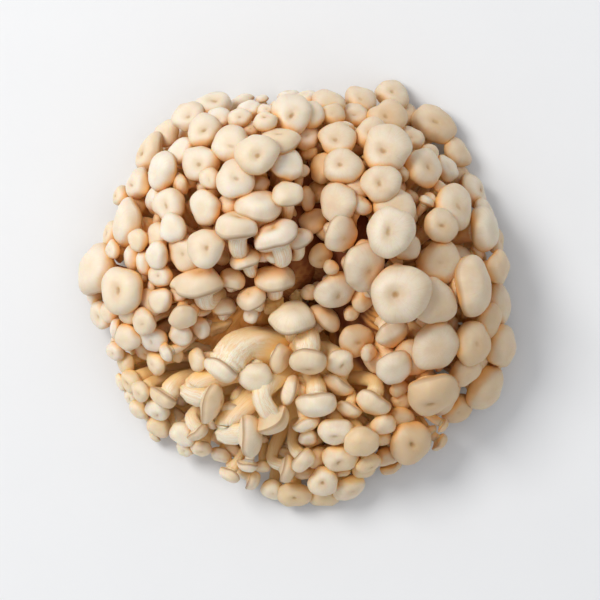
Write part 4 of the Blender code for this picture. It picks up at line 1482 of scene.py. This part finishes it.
@dataclass(frozen=True)
class StemFlesh(Finish):
    """Fibrous stem: whitish at the cap, with fine fibres along it, and painted shade that warms it towards
    its foot, deep in the cluster.
    """

    white: Colour = (0.95, 0.87, 0.72)
    fibre: Colour = (0.86, 0.60, 0.33)
    # painted shade: the orange that the stem takes on towards its foot, deep in the cluster
    foot: Colour = (0.86, 0.52, 0.21)
    apart: float = 40.0
    wobble: float = 0.45
    wobble_noise: Triple = (90.0, 2.0, 0.55)
    strand_noise: Triple = (1.6, 4.0, 0.6)
    strand_way: Triple = (6.0, 6.0, 0.8)
    strand_range: Pair = (0.42, 0.64)
    thread_noise: Triple = (1.6, 3.0, 0.6)
    thread_way: Triple = (22.0, 22.0, 1.4)
    thread_range: Pair = (0.46, 0.64)
    mottle_noise: Triple = (300.0, 3.0, 0.55)
    foot_range: Pair = (0.0, 0.85)
    roughness: float = 0.55
    relief: Pair = (0.0006, 0.7)

    def surface(self, kit: NodeKit, painted_shade: PaintedShade) -> tuple[Wire, Wire, Wire]:
        """The stem's colour, roughness and normal."""
        polar, place = kit.attribute("polar"), kit.place()
        tint, _, shade = kit.split(kit.attribute("look"))
        height = kit.split(polar)[2]
        shifted = kit.shifted(polar, kit.add("ShaderNodeCombineXYZ", {}, {"Z": tint * self.apart}))
        shifted = kit.shifted(shifted, kit.noise(place, *self.wobble_noise) * self.wobble)
        strand = kit.noise(kit.stretched(shifted, self.strand_way), *self.strand_noise)
        thread = kit.noise(kit.stretched(shifted, self.thread_way), *self.thread_noise)
        mottle = kit.noise(place, *self.mottle_noise)
        fibres = strand.between(*self.strand_range) * 0.55 + thread.between(*self.thread_range) * 0.5
        # painted shade: warmer towards the foot
        warm = (1 - height.between(*self.foot_range)) * (mottle * 0.5 + 0.55)
        colour = kit.layered(self.white, (fibres, self.fibre), (warm, self.foot))
        relief = strand * 0.7 + thread * 0.6 + mottle * 0.15
        normal = kit.bump(relief, *self.relief)
        # painted shade of crowded places over the stem's colour
        return painted_shade.over(kit, colour, shade), mottle * 0.12 + self.roughness, normal


@dataclass(frozen=True)
class CoreFlesh(Finish):
    """The core: stems grown together under painted shade, warm, darker in the furrows and darkest in the pit,
    and the paler cut face of the foot.
    """

    ridge: Colour = (0.86, 0.63, 0.36)
    # painted shade: the dark brown of the furrows between the fused stems
    furrow: Colour = (0.34, 0.11, 0.025)
    cut: Colour = (0.86, 0.74, 0.56)
    strand_noise: Triple = (2.4, 5.0, 0.6)
    strand_way: Triple = (5.0, 5.0, 0.8)
    strand_range: Pair = (0.30, 0.70)
    mottle_noise: Triple = (240.0, 4.0, 0.6)
    # painted shade round the pit: its middle's offset to the back, and where the darkening fades
    pit_y: float = 0.015
    pit_range: Pair = (0.024, 0.060)
    cut_range: Pair = (0.0002, 0.0012)
    roughness: float = 0.65
    relief: Pair = (0.0008, 0.7)

    def surface(self, kit: NodeKit, painted_shade: PaintedShade) -> tuple[Wire, Wire, Wire]:
        """The core's colour, roughness and normal."""
        polar, place = kit.attribute("polar"), kit.place()
        _, hollow, shade = kit.split(kit.attribute("look"))
        strand = kit.noise(kit.stretched(polar, self.strand_way), *self.strand_noise)
        mottle = kit.noise(place, *self.mottle_noise)
        # painted shade: dark brown in the furrows, cream on the ridges
        colour = kit.layered(self.furrow, (strand.between(*self.strand_range) - hollow * 0.9, self.ridge))
        east, north, height = kit.split(place)
        # painted shade: darker round the pit in the middle of the cluster
        north = north - self.pit_y
        pit = 1 - ((east * east + north * north) ** 0.5).between(*self.pit_range)
        colour = painted_shade.over(kit, colour, shade * 1.05 + hollow * 0.35 + pit * 0.25)
        face = (1 - height.between(*self.cut_range)) * (mottle * 0.3 + 0.8)
        normal = kit.bump(strand + mottle * 0.4, *self.relief)
        return kit.layered(colour, (face, self.cut)), mottle * 0.1 + self.roughness, normal


@dataclass(frozen=True)
class ScrapFlesh(Finish):
    """Torn flesh, dried to a yellowish brown."""

    fresh: Colour = (0.88, 0.64, 0.36)
    dried: Colour = (0.64, 0.34, 0.14)
    drift_noise: Triple = (160.0, 3.0, 0.55)
    mottle_noise: Triple = (600.0, 4.0, 0.6)
    # how strongly the painted shade of crowded places darkens the torn flesh
    shade_gain: float = 0.8
    roughness: float = 0.6
    relief: Pair = (0.0006, 0.6)

    def surface(self, kit: NodeKit, painted_shade: PaintedShade) -> tuple[Wire, Wire, Wire]:
        """The torn flesh's colour, roughness and normal."""
        place = kit.place()
        shade = kit.split(kit.attribute("look"))[2]
        drift, mottle = kit.noise(place, *self.drift_noise), kit.noise(place, *self.mottle_noise)
        colour = kit.layered(self.fresh, (drift * 1.2 + mottle * 0.6 - 0.5, self.dried))
        # painted shade of crowded places
        colour = painted_shade.over(kit, colour, shade * self.shade_gain)
        return colour, mottle * 0.1 + self.roughness, kit.bump(mottle + drift, *self.relief)


@dataclass
class Bunch:
    """One bunch's pieces: its caps, its stems, its core, its undergrowth and its torn scraps."""

    plan: BunchPlan
    skin: CapSkin
    caps: CapForm
    stems: StemForm
    painted_shade: PaintedShade
    scraps: tuple[Scrap, ...] = ()
    pocket_stem_sides: int = 9

    def dress(self, piece: bpy.types.Object, *finishes: bpy.types.Material) -> None:
        """Gives a piece its finishes, and ties it to the frame in its node's place.

        Args:
            piece: the finished mesh.
            *finishes: the materials, in the order of the piece's slots.
        """
        piece.data.materials.clear()
        for finish in finishes:
            piece.data.materials.append(finish)
        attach(piece, "root")
        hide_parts(self.plan.name)
        LOG.info("%s: %d triangles", piece.name, sum(len(f.vertices) - 2 for f in piece.data.polygons))

    def build(self) -> None:
        """Builds the bunch."""
        core, name, shade = Core(self.plan), self.plan.name, self.caps.shade
        kinds = ("skin", "gills", "stems", "core", "torn")
        looks = (self.skin, GillFlesh(), StemFlesh(), CoreFlesh(), ScrapFlesh())
        skin, gills, stem_flesh, core_flesh, torn = (
            look.material(f"{name}_{kind}_finish", self.painted_shade) for kind, look in zip(kinds, looks)
        )
        numbered = list(enumerate(self.plan.mushrooms))
        caps = join_pieces([self.caps.model(m, n) for n, m in numbered], f"{name}_caps")
        self.dress(caps, skin, gills)
        stems = join_pieces([self.stems.model(core, m, n) for n, m in numbered], f"{name}_stems")
        self.dress(stems, stem_flesh)
        self.dress(core.model(f"{name}_core", shade), core_flesh)
        young = []
        for number, m in enumerate(self.plan.undergrowth):
            young.append(self.caps.model(m, number, self.caps.pocket_sides))
            stem = self.stems.model(core, m, number, self.pocket_stem_sides)
            stem.data.polygons.foreach_set("material_index", [2] * len(stem.data.polygons))
            young.append(stem)
        self.dress(join_pieces(young, f"{name}_undergrowth"), skin, gills, stem_flesh)
        for number, scrap in enumerate(self.scraps):
            self.dress(scrap.model(f"{name}_scrap_{number}", shade), torn)


@dataclass
class Studio:
    """The pale floor, the soft light from the upper left and the camera straight above."""

    floor_size: float = 6.0
    floor_colour: Colour = (0.86, 0.865, 0.875)
    floor_drift: Colour = (0.84, 0.845, 0.855)
    floor_grain: float = 30.0
    floor_roughness: float = 0.75
    floor_relief: Pair = (0.0002, 0.1)
    lamp_place: Triple = (-1.25, 0.9, 1.75)
    lamp_size: float = 1.1
    lamp_power: float = 33.5
    lamp_colour: Colour = (1.0, 0.985, 0.96)
    sky_colour: Colour = (0.95, 0.97, 1.0)
    sky_strength: float = 0.60
    camera_height: float = 2.40
    field: float = 0.300
    focus_height: float = 0.035
    sensor: float = 36.0
    farthest: float = 100.0

    def build(self) -> None:
        """Makes the floor, the lights and the camera."""
        floor = add_primitive(bpy.ops.mesh.primitive_plane_add, "floor", size=self.floor_size)
        kit = NodeKit("floor_paint")
        grain = kit.noise(kit.place(), self.floor_grain)
        colour = kit.mixed(grain, self.floor_colour, self.floor_drift)
        normal = kit.bump(grain, *self.floor_relief)
        floor.data.materials.append(kit.finish(colour, grain * 0.1 + self.floor_roughness, normal))
        lamp = bpy.data.lights.new("softbox", "AREA")
        lamp.shape, lamp.size = "DISK", self.lamp_size
        lamp.energy, lamp.color = self.lamp_power, self.lamp_colour
        softbox = bpy.data.objects.new("softbox", lamp)
        softbox.location = self.lamp_place
        softbox.rotation_euler = Vector(self.lamp_place).to_track_quat("Z", "Y").to_euler()
        world = bpy.data.worlds.new("studio")
        world.use_nodes = True
        sky = world.node_tree.nodes["Background"].inputs
        sky["Color"].default_value, sky["Strength"].default_value = (*self.sky_colour, 1.0), self.sky_strength
        scene = bpy.context.scene
        scene.world = world
        scene.view_settings.view_transform = "Standard"
        lens = bpy.data.cameras.new("camera")
        lens.sensor_width = self.sensor
        lens.lens = self.sensor * (self.camera_height - self.focus_height) / self.field
        lens.clip_end = self.farthest
        camera = bpy.data.objects.new("camera", lens)
        camera.location = (0.0, 0.0, self.camera_height)
        for item in (softbox, camera):
            scene.collection.objects.link(item)
        scene.camera = camera


def main() -> None:
    """Grows the cluster, builds its bunches, and sets the studio round it."""
    logging.basicConfig(level=logging.INFO)
    left, right, front = ([Mushroom(*row) for row in rows] for rows in (LEFT_ROWS, RIGHT_ROWS, FRONT_ROWS))
    plans = (
        BunchPlan("left_bunch", butt=(-16.0, 11.0), radius=24.0, core=0.76, slot=Slot.PALE, mushrooms=left),
        BunchPlan("right_bunch", butt=(22.0, 9.0), radius=22.0, core=0.78, slot=Slot.CREAM, mushrooms=right),
        BunchPlan("front_bunch", butt=(-2.0, -24.0), radius=20.0, core=0.70, slot=Slot.WARM, mushrooms=front),
    )
    growth = Growth(plans)
    growth.grow()
    line = StemLine(growth)
    rng = random.Random(growth.seed + 1)
    Undergrowth(growth, line).grow(rng)
    deep = Undergrowth(
        growth, line, tries=7000, most=80, radii=(3.2, 5.4), depths=(22.0, 46.0),
        inset=8.0, room=0.55, sparse=1.0,
    )
    deep.grow(rng)
    shade = Shade.of(growth)
    # each bunch's skin has its own tone and also paints light: the right bunch's is darker for the shade on
    # that side, the front bunch's paler for light it lacks, and its caps get less painted shade
    skins = (
        CapSkin((0.85, 0.785, 0.68), (0.81, 0.65, 0.44)),
        CapSkin((0.81, 0.715, 0.57), (0.70, 0.51, 0.31)),
        CapSkin((0.92, 0.835, 0.68), (0.79, 0.60, 0.37), shade_cut=0.17),
    )
    # painted shade of each bunch's crowded places: the left's brown is lighter, and the front's orange starts
    # sooner while its brown is lighter and later
    painted_shades = (
        PaintedShade(dark=(0.25, 0.055, 0.010), dark_range=(0.66, 0.93)),
        PaintedShade(),
        PaintedShade((1.0, 0.60, 0.20), (0.50, 0.17, 0.04), warm_range=(0.06, 0.62), dark_range=(0.70, 1.0)),
    )
    scraps = (
        (Scrap((-43, -12, 40), 26, 10, 20, 5), Scrap((-30, -6, 38), 14, 8, -20, 5)),
        (),
        (Scrap((-13, -2, 46), 15, 9, 10, 0), Scrap((-2, 2, 42), 10, 7, 60, 10)),
    )
    caps, stems = CapForm(growth, shade), StemForm(line, shade)
    for plan, skin, painted_shade, torn in zip(plans, skins, painted_shades, scraps):
        Bunch(plan, skin, caps, stems, painted_shade, torn).build()
    for master in (*caps.masters.values(), *stems.masters.values()):
        bpy.data.objects.remove(master)
    Studio().build()


if __name__ == "__main__":
    main()
